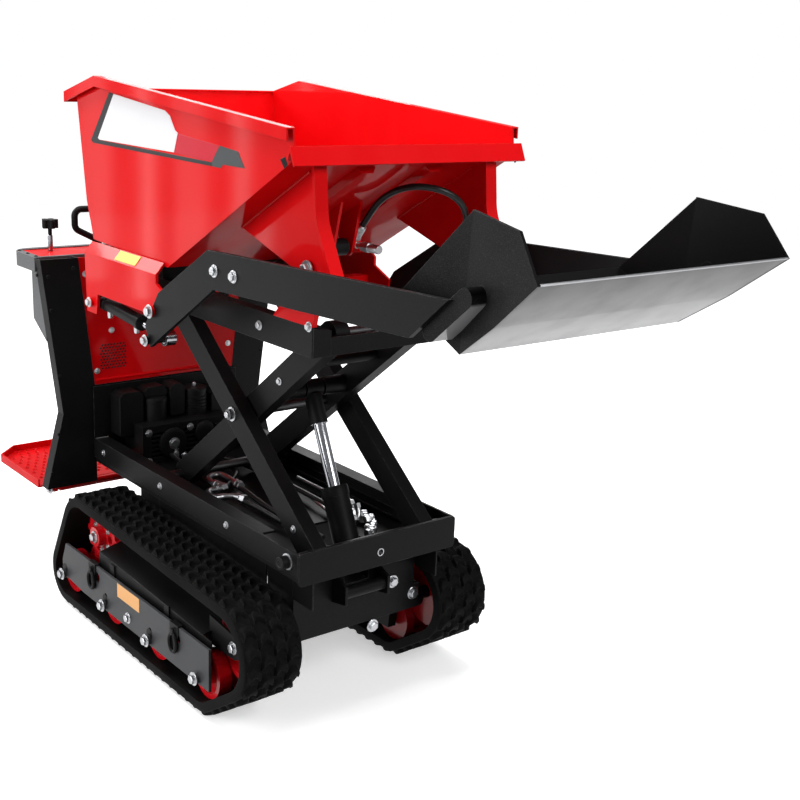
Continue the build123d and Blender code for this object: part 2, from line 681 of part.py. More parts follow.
def inner_arm():
    """Right-hand arm of the inner pair: low at the rear, high at the front."""
    arm = link(B_FOOT, TOP_PIVOT, ARM_R, -ARM_B_OUT, -ARM_B_IN)
    arm -= rod(CROSSING, SHAFT_R + PIN_PLAY, -ARM_B_OUT - 1, 0)
    arm -= rod(TOP_PIVOT, SHAFT_R + PIN_PLAY, -ARM_B_OUT - 1, 0)
    return arm - rod(B_FOOT, SHAFT_R, -ARM_B_OUT - 1, 0)


def inner_tubes():
    """Lower roller shaft of the inner pair, its brace and the tube the lift cylinder pushes on."""
    reach = RAIL_HALF - SHEET - 3
    foot = rod(B_FOOT, SHAFT_R, -reach, reach)
    for side in (-1, 1):
        middle = side * (reach - 16)
        foot += rod(B_FOOT, RAIL_H / 2 - SHEET - CHANNEL_PLAY, middle - 12, middle + 12)
    brace = rod(along(CROSSING, TOP_PIVOT, BRACE_AT), BRACE_R, -ARM_B_IN, ARM_B_IN)
    lug = None
    for side in (-1, 1):
        stub = rod(LIFT_EYE, 24, min(side * ARM_B_IN, side * 32), max(side * ARM_B_IN, side * 32))
        lug = stub if lug is None else lug + stub
    return foot, brace, lug


crossing_pin, roller_shaft = outer_shafts()
keep_pair("outer_arm", outer_arm())
keep("outer_shafts", crossing_pin + roller_shaft)
lower_shaft, brace_tube, eye_stubs = inner_tubes()
keep_pair("inner_arm", inner_arm())
keep("lower_roller_shaft", lower_shaft)
keep("inner_tubes", brace_tube + eye_stubs)


# ---------------------------------------------------------------- platform
def platform_rail():
    """Right-hand platform rail: a channel that takes the outer arms' rollers."""
    web = box(PLATFORM_REAR, PLATFORM_FRONT, -PLATFORM_HALF, -PLATFORM_HALF + SHEET, PLATFORM_FOOT, PLATFORM_TOP)
    inner = -ARM_A_OUT - 7
    for z in (PLATFORM_FOOT, PLATFORM_TOP - SHEET):
        web += box(PLATFORM_REAR + REAR_BAR_T, PLATFORM_FRONT - BAR_T, -PLATFORM_HALF, inner, z, z + SHEET)
    return web


def top_shaft():
    """Shaft on which the inner arms' upper ends turn."""
    reach = PLATFORM_HALF - SHEET
    return rod(TOP_PIVOT, SHAFT_R, -reach, reach)


def platform_bar(x_low, x_high):
    """Cross bar between the platform rails."""
    reach = PLATFORM_HALF - SHEET
    return box(x_low, x_high, -reach, reach, PLATFORM_FOOT, PLATFORM_FOOT + BAR_H)


def hinge_upright():
    """Right-hand upright from the rail to the skip's hinge, with its pin."""
    y_out, y_in = -PLATFORM_HALF, -PLATFORM_HALF + UPRIGHT_T
    boss = 30
    outline = ((120, PLATFORM_TOP), (PLATFORM_FRONT, PLATFORM_TOP), (HINGE_X + boss - 2, HINGE_Z - 6),
               (HINGE_X - boss + 4, HINGE_Z + 12))
    plate = slab(outline, y_out, y_in) + rod(HINGE, boss, y_out, y_in)
    return plate + rod(HINGE, SHAFT_R, y_out - HINGE_GAP - BRACKET_T - 6, y_out)


def cradle():
    """Right-hand pin plate beside the skip, on outriggers from the platform rail."""
    y_out = -CRADLE_OUT
    y_in = y_out + CRADLE_T
    plate = slab(CRADLE_OUTLINE, y_out, y_in)
    for x_low, x_high in ((-560, -520), (-300, -260)):
        plate += box(x_low, x_high, y_in, -PLATFORM_HALF, PLATFORM_TOP - 46, PLATFORM_TOP - 6)
    pins = rod(LOADER_PIVOT, SHAFT_R, -LOADER_ARM_OUT - 8, y_out)
    pins += rod(LOADER_BASE, SMALL_PIN_R, y_out - 8, -LOADER_RAM_Y + LOADER_RAM_EYE + 2)
    ledge_in = -SKIP_HALF - LEDGE_GAP
    top = CRADLE_OUTLINE[0][1]
    front = Plane(origin=(CRADLE_OUTLINE[0][0], 0, 0), x_dir=(0, 1, 0), z_dir=(1, 0, 0))
    section = Polyline((y_out, top - 1), (ledge_in, top + LEDGE_RISE), (ledge_in, top + LEDGE_RISE - CRADLE_T),
                       (y_in, top - 1), close=True)
    ledge = extrude(front * make_face(section), CRADLE_OUTLINE[-1][0] - CRADLE_OUTLINE[0][0])
    return plate + ledge + pins


keep_pair("platform_rail", platform_rail())
keep("top_shaft", top_shaft())
keep("front_bar", platform_bar(PLATFORM_FRONT - BAR_T, PLATFORM_FRONT))
keep("rear_bar", platform_bar(PLATFORM_REAR, PLATFORM_REAR + REAR_BAR_T))
keep_pair("hinge_upright", hinge_upright())
keep_pair("cradle", cradle())


def tip_base():
    """Cross bar with the clevis for the tipping cylinder."""
    x, z = TIP_BASE
    bar = box(x - 34, x - 6, -PLATFORM_HALF, PLATFORM_HALF, PLATFORM_TOP, PLATFORM_TOP + 34)
    ear = ((x - 34, PLATFORM_TOP + 1), (x - 22, z - 22), (x + 18, z - 22), (x + 18, z + 22), (x - 6, PLATFORM_TOP + 1))
    for side in (-1, 1):
        low, high = sorted((side * 36, side * 46))
        bar += slab(ear, low, high)
    return bar + rod(TIP_BASE, 12, -46, 46)


keep("tip_base", tip_base())


# ---------------------------------------------------------------- skip
def skip_tub():
    """Open skip: side walls, one folded sheet for back, floor and slope, and its turned-down rim."""
    rear, peak, corner = RIM_LINE
    back_top = along(rear, peak, BACK_INSET)
    profile = (back_top, *SKIP_BACK, SKIP_FLOOR_FRONT, SKIP_MOUTH)
    side = slab((*profile, corner, peak), -SKIP_HALF, -SKIP_HALF + SKIP_T)
    inside = SKIP_HALF - SKIP_T / 2
    tub = strip(profile, SKIP_T, -inside, inside)
    rim = strip(RIM_LINE[::-1], RIM_T, -SKIP_HALF - RIM, -SKIP_HALF + SKIP_T)
    low = [(x, z - LIP) for x, z in RIM_LINE]
    rim += slab(list(RIM_LINE) + low[::-1], -SKIP_HALF - RIM, -SKIP_HALF - RIM + RIM_T)
    tub += side + to_left(side) + rim + to_left(rim)
    tub += strip((along(rear, peak, BACK_INSET + 2 * SKIP_T), rear), RIM_T, -inside, inside)
    tub += box(rear[0], rear[0] + RIM_T, -SKIP_HALF - RIM, SKIP_HALF + RIM, rear[1] - LIP, rear[1])
    return tub + strip(FRONT_LIP, SKIP_T, -SKIP_HALF - RIM, SKIP_HALF + RIM)


def skip_bracket():
    """Right-hand gusset under the skip's slope down to the hinge."""
    y_in = -PLATFORM_HALF - HINGE_GAP
    y_out = y_in - BRACKET_T
    rise = (SKIP_MOUTH[1] - SKIP_FLOOR_FRONT[1]) / (SKIP_MOUTH[0] - SKIP_FLOOR_FRONT[0])

    def under(x):
        return (x, SKIP_FLOOR_FRONT[1] + rise * (x - SKIP_FLOOR_FRONT[0]) + 1)

    outline = (under(0), under(BRACKET_KNEE[0] - 14), BRACKET_KNEE, BRACKET_TOE, (HINGE_X - 28, HINGE_Z - 17))
    face = make_face(Polyline(*outline, close=True))
    knee = face.vertices().sort_by_distance(Vector(*BRACKET_KNEE))[0]
    face = fillet(knee, BRACKET_CURVE)
    toe_x, toe_z = BRACKET_TOE[0] - FLANGE_T - 1, BRACKET_TOE[1]
    sill = Polyline((200, 1100), (toe_x, 1100), (toe_x, toe_z + 3), (BRACKET_KNEE[0] - 20, toe_z + 30),
                    (200, toe_z + 30), close=True)
    edge = face - Pos(-FLANGE_T, 0) * face - make_face(sill)
    plate = extrude(side_plane(y_in) * face, BRACKET_T) + rod(HINGE, 32, y_out, y_in)
    plate += extrude(side_plane(y_in) * edge, FLANGE_W)
    return plate - rod(HINGE, SHAFT_R + PIN_PLAY, y_out - 1, y_in + 1)


def slope_rib(y):
    """Hat-shaped stiffener along the slope's underside."""
    start = along(SKIP_FLOOR_FRONT, SKIP_MOUTH, RIB_RUN[0])
    span = hypot(SKIP_MOUTH[0] - SKIP_FLOOR_FRONT[0], SKIP_MOUTH[1] - SKIP_FLOOR_FRONT[1])
    run = ((SKIP_MOUTH[0] - SKIP_FLOOR_FRONT[0]) / span, (SKIP_MOUTH[1] - SKIP_FLOOR_FRONT[1]) / span)
    plane = Plane(origin=(start[0], y, start[1]), x_dir=(0, 1, 0), z_dir=(run[0], 0, run[1]))
    down = -1 if plane.y_dir.Z > 0 else 1
    crest = RIB_HALF - 10
    outline = [(a, down * b) for a, b in ((-RIB_HALF, -1), (-RIB_HALF, 2), (-crest, RIB_H), (crest, RIB_H),
                                          (RIB_HALF, 2), (RIB_HALF, -1))]
    return extrude(plane * make_face(Polyline(*outline, close=True)), RIB_RUN[1] - RIB_RUN[0])


def hose_gland(end, before, length):
    """Gland that one end of the hose runs into, on the same line."""
    way = (Vector(*end) - Vector(*before)).normalized()
    return extrude(Plane(origin=Vector(*end), z_dir=way) * Circle(HOSE_R + 3), length)


def hose_glands():
    """The hose's two glands: on a block on the left tip lug, and on the left bracket's inner face."""
    block = box(44, 80, 33, 58, 1178, 1208)
    start = hose_gland(HOSE_ROUTE[0], HOSE_ROUTE[1], 34)
    x, y, z = HOSE_ROUTE[-1]
    boss = rod((x - 8, z - 2), 18, y + 8, PLATFORM_HALF + HINGE_GAP + 1)
    return block + start + boss + hose_gland(HOSE_ROUTE[-1], HOSE_ROUTE[-2], 14)


def tip_lugs():
    """Two plates under the slope that flank the tipping cylinder's eye."""
    x, z = TIP_EYE
    rise = (SKIP_MOUTH[1] - SKIP_FLOOR_FRONT[1]) / (SKIP_MOUTH[0] - SKIP_FLOOR_FRONT[0])
    top = [(px, SKIP_FLOOR_FRONT[1] + rise * (px - SKIP_FLOOR_FRONT[0]) + 1) for px in (x - 45, x + 55)]
    group = None
    for side in (-1, 1):
        low, high = sorted((side * 26, side * 34))
        lug = slab((*top, (x + 22, z - 12), (x - 22, z - 12)), low, high) + rod((x, z), 24, low, high)
        group = lug if group is None else group + lug
    return group


def hose():
    """Hydraulic hose in a loose arch under the skip's mouth: straight runs joined by large arcs."""
    runs = [Vector(*b) - Vector(*a) for a, b in zip(HOSE_ROUTE, HOSE_ROUTE[1:])]
    radii = [0.45 * min(a.length, b.length) / tan(radians(a.get_angle(b)) / 2) for a, b in zip(runs, runs[1:])]
    print("hose radii", [round(r) for r in radii])
    path = FilletPolyline(*HOSE_ROUTE, radius=radii)
    print("hose length", round(path.length, 1))
    ring = Plane(origin=path @ 0, z_dir=path % 0) * Circle(HOSE_R)
    return sweep(ring, path=path)


tub = skip_tub() + skip_bracket() + to_left(skip_bracket()) + tip_lugs() + hose_glands()
keep("skip_tub", tub + slope_rib(-RIB_Y) + slope_rib(RIB_Y))
keep("skip_hose", hose())


# ---------------------------------------------------------------- cylinders
def ram(name, base, eye, barrel_r, barrel_l, rod_r, rod_l, pin_r, half, y=0, sleeve_l=34):
    """Files a cylinder: a hollow barrel on its foot eye, and a rod with an open eye at its far end.

    base and eye are (x, z); half is half the width of both eyes along y; sleeve_l is the length of the
    sleeve that joins the rod to its eye."""
    foot_r = pin_r + 9
    tube = cylinder_piece(along(base, eye, foot_r - 3), along(base, eye, barrel_l), barrel_r, y)
    reach = hypot(eye[0] - base[0], eye[1] - base[1])
    bore = cylinder_piece(along(base, eye, foot_r + 6), along(base, eye, barrel_l + 1), rod_r + 1, y)
    foot = rod(base, foot_r, y - half, y + half)
    tube = tube + foot - rod(base, pin_r + PIN_PLAY, y - half - 1, y + half + 1) - bore
    keep(name + "_barrel", tube)
    shank = cylinder_piece(along(base, eye, reach - rod_l), along(base, eye, reach - foot_r + 2), rod_r, y)
    sleeve = cylinder_piece(along(base, eye, reach - foot_r - sleeve_l), along(base, eye, reach - foot_r + 3),
                            rod_r + 6, y)
    head = shank + sleeve + rod(eye, foot_r, y - half, y + half)
    keep(name + "_rod", head - rod(eye, pin_r + 1, y - half - 1, y + half + 1))


ram("lift", LIFT_BASE, LIFT_EYE, LIFT_BARREL_R, LIFT_BARREL_L, LIFT_ROD_R, LIFT_ROD_L, SHAFT_R, 26,
    sleeve_l=LIFT_SLEEVE_L)
ram("tip", TIP_BASE, TIP_EYE, TIP_BARREL_R, TIP_BARREL_L, TIP_ROD_R, TIP_ROD_L, 12, 20)
for hand, ram_y in (("right", -LOADER_RAM_Y), ("left", LOADER_RAM_Y)):
    ram("loader_" + hand, LOADER_BASE, LOADER_CRANK, LOADER_BARREL_R, LOADER_BARREL_L, LOADER_ROD_R,
        LOADER_ROD_L, SMALL_PIN_R, LOADER_RAM_EYE, ram_y)


# ---------------------------------------------------------------- loader
def loader_arm():
    """Right-hand lifting arm: a flat plate cut to the arm's outline, with its crank pin."""
    y_out, y_in = -LOADER_ARM_OUT, -LOADER_ARM_OUT + LOADER_ARM_T
    plate = slab(ARM_OUTLINE, y_out, y_in)
    plate += rod(LOADER_CRANK, SMALL_PIN_R, y_out - 8, y_in + 1)
    plate += rod(LOADER_CRANK, SMALL_PIN_R, y_in, -LOADER_RAM_Y - LOADER_RAM_EYE - 4)
    return plate - rod(LOADER_PIVOT, SHAFT_R + PIN_PLAY, y_out - 1, y_in + 1)


def cheek():
    """Right-hand side of the shovel: a flat rear part, and a front part folded outwards along the
    line from the cheek's rear top corner to the heel."""
    half = SHOVEL_HALF[1]
    rear = slab((SHOVEL_BACK, CHEEK_TOP_REAR, SHOVEL_HEEL), -half, -half + SHOVEL_T)
    rise = (CHEEK_TOP_REAR[0] - SHOVEL_HEEL[0], CHEEK_TOP_REAR[1] - SHOVEL_HEEL[1])
    fold = (rise[0] / hypot(*rise), rise[1] / hypot(*rise))

    def from_fold(point):
        """Distances of an (x, z) point from the fold, and along it from the heel."""
        x, z = point[0] - SHOVEL_HEEL[0], point[1] - SHOVEL_HEEL[1]
        return x * fold[1] - z * fold[0], x * fold[0] + z * fold[1]

    splay = atan2(SHOVEL_HALF[3] - half, from_fold(SHOVEL_EDGE)[0])
    forward = (fold[1] * cos(splay), -sin(splay), -fold[0] * cos(splay))
    inward = (fold[1] * sin(splay), cos(splay), -fold[0] * sin(splay))
    plane = Plane(origin=(SHOVEL_HEEL[0], -half, SHOVEL_HEEL[1]), x_dir=forward, z_dir=inward)
    top = from_fold(CHEEK_TOP_REAR)[1]
    outline = [(-SHOVEL_T / 2, 0), (-SHOVEL_T / 2, top)]
    for point in (CHEEK_TOP_REAR, CHEEK_TOP_FRONT, SHOVEL_EDGE, SHOVEL_BEND, SHOVEL_HEEL):
        out, up = from_fold(point)
        outline.append((out / cos(splay), up))
    sign = 1 if plane.y_dir.Z > 0 else -1
    face = make_face(Polyline(*[(a, sign * b) for a, b in outline], close=True))
    return rear + extrude(plane * face, SHOVEL_T)


def shovel():
    """Scoop across the machine: back plate, floor in two flats and two cheeks, with its arm mounts."""
    line = (SHOVEL_BACK, SHOVEL_HEEL, SHOVEL_BEND, SHOVEL_EDGE)
    scoop = cheek() + to_left(cheek())
    inset = SHOVEL_T / 2
    for i in range(3):
        start, end = line[i], line[i + 1]
        scoop += sheet_between(start, end, SHOVEL_HALF[i] - inset, SHOVEL_HALF[i + 1] - inset, SHOVEL_T)
    for side in (-1, 1):
        low, high = sorted((side * (SHOVEL_HALF[1] - 1), side * (LOADER_ARM_OUT - LOADER_ARM_T)))
        scoop += link(*MOUNT_TUBE, MOUNT_R, low, high)
    return scoop


keep_pair("loader_arm", loader_arm())
keep("shovel", shovel())


# ---------------------------------------------------------------- origin and export
middle_x = (SHOVEL_EDGE[0] + FOOT_REAR) / 2
os.makedirs("parts", exist_ok=True)
for piece_name, piece in pieces.items():
    export_step(Pos(-middle_x, 0, 0) * piece, "parts/" + piece_name + ".step")
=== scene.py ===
"""Looks of the tracked mini dumper: finishes for every part, its small fittings, and the studio.

Lengths are metres in the machine's own frame: x forwards, y to its left, z up from the ground.
"""
from __future__ import annotations

import logging
import math
from dataclasses import dataclass, field
from enum import Enum
from typing import Iterable, Sequence

import bmesh
import bpy
import numpy as np
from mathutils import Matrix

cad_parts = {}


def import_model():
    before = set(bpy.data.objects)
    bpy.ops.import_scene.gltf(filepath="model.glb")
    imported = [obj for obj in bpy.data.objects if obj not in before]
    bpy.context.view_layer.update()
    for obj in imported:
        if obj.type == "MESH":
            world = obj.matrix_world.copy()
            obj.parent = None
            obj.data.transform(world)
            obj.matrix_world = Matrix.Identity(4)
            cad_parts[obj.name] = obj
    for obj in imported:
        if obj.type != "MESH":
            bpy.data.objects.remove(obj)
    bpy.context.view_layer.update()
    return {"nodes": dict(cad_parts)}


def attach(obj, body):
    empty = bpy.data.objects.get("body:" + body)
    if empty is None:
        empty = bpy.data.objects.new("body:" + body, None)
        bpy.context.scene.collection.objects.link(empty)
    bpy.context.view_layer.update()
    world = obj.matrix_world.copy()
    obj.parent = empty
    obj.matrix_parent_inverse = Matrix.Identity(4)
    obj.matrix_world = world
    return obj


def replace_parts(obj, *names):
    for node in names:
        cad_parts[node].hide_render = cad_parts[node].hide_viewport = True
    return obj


LOG = logging.getLogger("dumper")
Array = np.ndarray
Point = Sequence[float]
SIDES = ((-1, "right"), (1, "left"))


# ---------------------------------------------------------------- shader groups
class Effect(Enum):
    """The shader groups that several finishes share."""

    GRAIN = "grain"
    EDGES = "edges"
    DUST = "dust"
    SHEET = "sheet"
    PAINTED_SHEEN_AND_SHADE = "painted_sheen_and_shade"


def socket(group: bpy.types.NodeTree, name: str, kind: str, output: bool = False, value: object = None) -> None:
    """Adds one named input or output to a shader group.

    Args:
        group: the group.
        name: the socket's name.
        kind: Float, Color or Vector.
        output: whether it is an output.
        value: the input's default.
    """
    made = group.interface.new_socket(name, in_out="OUTPUT" if output else "INPUT",
                                      socket_type="NodeSocket" + kind)
    if value is not None:
        made.default_value = value


class NodeBook:
    """Short ways to add and join nodes in one tree."""

    def __init__(self, tree: bpy.types.NodeTree) -> None:
        """Keeps the tree."""
        self.tree = tree

    def add(self, kind: str, **settings: object) -> bpy.types.Node:
        """Adds a node of this kind with these properties."""
        node = self.tree.nodes.new("ShaderNode" + kind)
        for name, value in settings.items():
            setattr(node, name, value)
        return node

    def join(self, source: bpy.types.NodeSocket, target: bpy.types.NodeSocket) -> None:
        """Links two sockets."""
        self.tree.links.new(source, target)

    def math(self, operation: str, *values: object) -> bpy.types.NodeSocket:
        """A Math node on sockets or plain numbers, and its output."""
        node = self.add("Math", operation=operation)
        for slot, value in zip(node.inputs, values):
            if isinstance(value, bpy.types.NodeSocket):
                self.join(value, slot)
            else:
                slot.default_value = value
        return node.outputs[0]

    def noise(self, vector: bpy.types.NodeSocket, scale: object, detail: float = 2.0) -> bpy.types.NodeSocket:
        """A noise pattern of this scale on a vector, and its value."""
        node = self.add("TexNoise")
        self.join(vector, node.inputs["Vector"])
        if isinstance(scale, bpy.types.NodeSocket):
            self.join(scale, node.inputs["Scale"])
        else:
            node.inputs["Scale"].default_value = scale
        node.inputs["Detail"].default_value = detail
        return node.outputs["Fac"]

    def spread(self, value: bpy.types.NodeSocket, low: object, high: object,
               out_low: object = 0.0, out_high: object = 1.0) -> bpy.types.NodeSocket:
        """Maps a value's range onto another, clamped."""
        node = self.add("MapRange")
        self.join(value, node.inputs["Value"])
        for name, limit in (("From Min", low), ("From Max", high), ("To Min", out_low), ("To Max", out_high)):
            if isinstance(limit, bpy.types.NodeSocket):
                self.join(limit, node.inputs[name])
            else:
                node.inputs[name].default_value = limit
        return node.outputs["Result"]

    def blend(self, amount: bpy.types.NodeSocket, first: object, second: object) -> bpy.types.NodeSocket:
        """Mixes two colours, each a socket or a plain colour."""
        node = self.add("Mix", data_type="RGBA")
        self.join(amount, node.inputs["Factor"])
        for slot, value in ((node.inputs[6], first), (node.inputs[7], second)):
            if isinstance(value, bpy.types.NodeSocket):
                self.join(value, slot)
            else:
                slot.default_value = (*value, 1.0)
        return node.outputs[2]


class EffectGroups:
    """Builds each shared shader group once."""

    def __init__(self) -> None:
        """Builds the groups."""
        self.trees = {Effect.GRAIN: self.grain(), Effect.EDGES: self.edges(), Effect.DUST: self.dust(),
                      Effect.SHEET: self.sheet(), Effect.PAINTED_SHEEN_AND_SHADE: self.painted_sheen_and_shade()}

    @staticmethod
    def start(effect: Effect) -> tuple[bpy.types.NodeTree, NodeBook]:
        """An empty group and its node book."""
        tree = bpy.data.node_groups.new(effect.value, "ShaderNodeTree")
        return tree, NodeBook(tree)

    def grain(self) -> bpy.types.NodeTree:
        """Powder coat's orange peel: fine and coarse noise added, as a height and as a speckle mask."""
        tree, book = self.start(Effect.GRAIN)
        socket(tree, "Scale", "Float", value=900.0)
        socket(tree, "Height", "Float", output=True)
        socket(tree, "Speckle", "Float", output=True)
        inside, out = book.add("TexCoord"), tree.nodes.new("NodeGroupOutput")
        entry = tree.nodes.new("NodeGroupInput")
        fine = book.noise(inside.outputs["Object"], entry.outputs["Scale"], 1.0)
        coarse = book.noise(inside.outputs["Object"], book.math("MULTIPLY", entry.outputs["Scale"], 0.3), 2.0)
        book.join(book.math("ADD", book.math("MULTIPLY", fine, 0.6), book.math("MULTIPLY", coarse, 0.4)),
                  out.inputs["Height"])
        book.join(book.spread(fine, 0.52, 0.72), out.inputs["Speckle"])
        return tree

    def edges(self) -> bpy.types.NodeTree:
        """Rounded edges and their lighter band, partly wear and partly painted highlight: where a rounded normal
        leaves the face's own, broken up by noise.
        """
        tree, book = self.start(Effect.EDGES)
        socket(tree, "Radius", "Float", value=0.0025)
        socket(tree, "Mask", "Float", output=True)
        socket(tree, "Normal", "Vector", output=True)
        entry, out = tree.nodes.new("NodeGroupInput"), tree.nodes.new("NodeGroupOutput")
        bevel = book.add("Bevel", samples=4)
        book.join(entry.outputs["Radius"], bevel.inputs["Radius"])
        face = book.add("NewGeometry")
        dot = book.add("VectorMath", operation="DOT_PRODUCT")
        book.join(bevel.outputs["Normal"], dot.inputs[0])
        book.join(face.outputs["Normal"], dot.inputs[1])
        place = book.add("TexCoord")
        broken = book.noise(place.outputs["Object"], 60.0, 4.0)
        edge = book.spread(dot.outputs["Value"], 0.97, 0.8)
        book.join(book.math("MULTIPLY", edge, book.spread(broken, 0.35, 0.65)), out.inputs["Mask"])
        book.join(bevel.outputs["Normal"], out.inputs["Normal"])
        return tree

    def dust(self) -> bpy.types.NodeTree:
        """Dust and handling marks: soft cloudy patches, thicker on faces that look up."""
        tree, book = self.start(Effect.DUST)
        socket(tree, "Scale", "Float", value=6.0)
        socket(tree, "Mask", "Float", output=True)
        socket(tree, "Cloud", "Float", output=True)
        entry, out = tree.nodes.new("NodeGroupInput"), tree.nodes.new("NodeGroupOutput")
        place = book.add("TexCoord")
        cloud = book.noise(place.outputs["Object"], entry.outputs["Scale"], 6.0)
        face, parts = book.add("NewGeometry"), book.add("SeparateXYZ")
        book.join(face.outputs["Normal"], parts.inputs[0])
        up = book.spread(parts.outputs["Z"], 0.2, 1.0)
        book.join(book.math("MULTIPLY", book.spread(cloud, 0.45, 0.7), up), out.inputs["Mask"])
        book.join(cloud, out.inputs["Cloud"])
        return tree

    def sheet(self) -> bpy.types.NodeTree:
        """Slow unevenness of welded sheet: low noise, four times longer in height than along the sheet."""
        tree, book = self.start(Effect.SHEET)
        socket(tree, "Height", "Float", output=True)
        out, place = tree.nodes.new("NodeGroupOutput"), book.add("TexCoord")
        longer = book.add("Mapping")
        longer.inputs["Scale"].default_value = (1.0, 1.0, 0.25)
        book.join(place.outputs["Object"], longer.inputs["Vector"])
        book.join(book.noise(longer.outputs["Vector"], 7.0, 1.0), out.inputs["Height"])
        return tree

    def painted_sheen_and_shade(self) -> bpy.types.NodeTree:
        """A painted reflection on faces that look down and a painted shade on inward and upward faces.

        The first output is 1 on faces that look down, fading to 0 between two places along x, broken up by noise;
        it is a painted reflection of the pale floor in glossy paint.
        The second output is 1 on side walls that look towards the machine's middle and on faces that look up; it is
        painted shade.
        """
        tree, book = self.start(Effect.PAINTED_SHEEN_AND_SHADE)
        socket(tree, "Rear", "Float", value=1.03)
        socket(tree, "Front", "Float", value=1.32)
        socket(tree, "Painted_sheen", "Float", output=True)
        socket(tree, "Inside", "Float", output=True)
        entry, out = tree.nodes.new("NodeGroupInput"), tree.nodes.new("NodeGroupOutput")
        place, face, spot = book.add("TexCoord"), book.add("SeparateXYZ"), book.add("SeparateXYZ")
        book.join(place.outputs["Normal"], face.inputs[0])
        book.join(place.outputs["Object"], spot.inputs[0])
        along = book.spread(spot.outputs["X"], entry.outputs["Rear"], entry.outputs["Front"], 1.0, 0.0)
        down = book.spread(face.outputs["Z"], -0.35, -0.7)
        broken = book.spread(book.noise(place.outputs["Object"], 14.0, 5.0), 0.25, 0.6, 0.75, 1.0)
        book.join(book.math("MULTIPLY", book.math("MULTIPLY", down, broken), along), out.inputs["Painted_sheen"])
        # painted shade: side walls that look towards the middle, and faces that look up
        inward = book.spread(book.math("MULTIPLY", face.outputs["Y"], spot.outputs["Y"]), -0.05, -0.2)
        book.join(book.math("MAXIMUM", inward, book.spread(face.outputs["Z"], 0.25, 0.5)), out.inputs["Inside"])
        return tree

    def place(self, book: NodeBook, effect: Effect, **values: float) -> bpy.types.Node:
        """Puts a group into a material with its own values."""
        node = book.add("Group", node_tree=self.trees[effect])
        for name, value in values.items():
            node.inputs[name].default_value = value
        return node


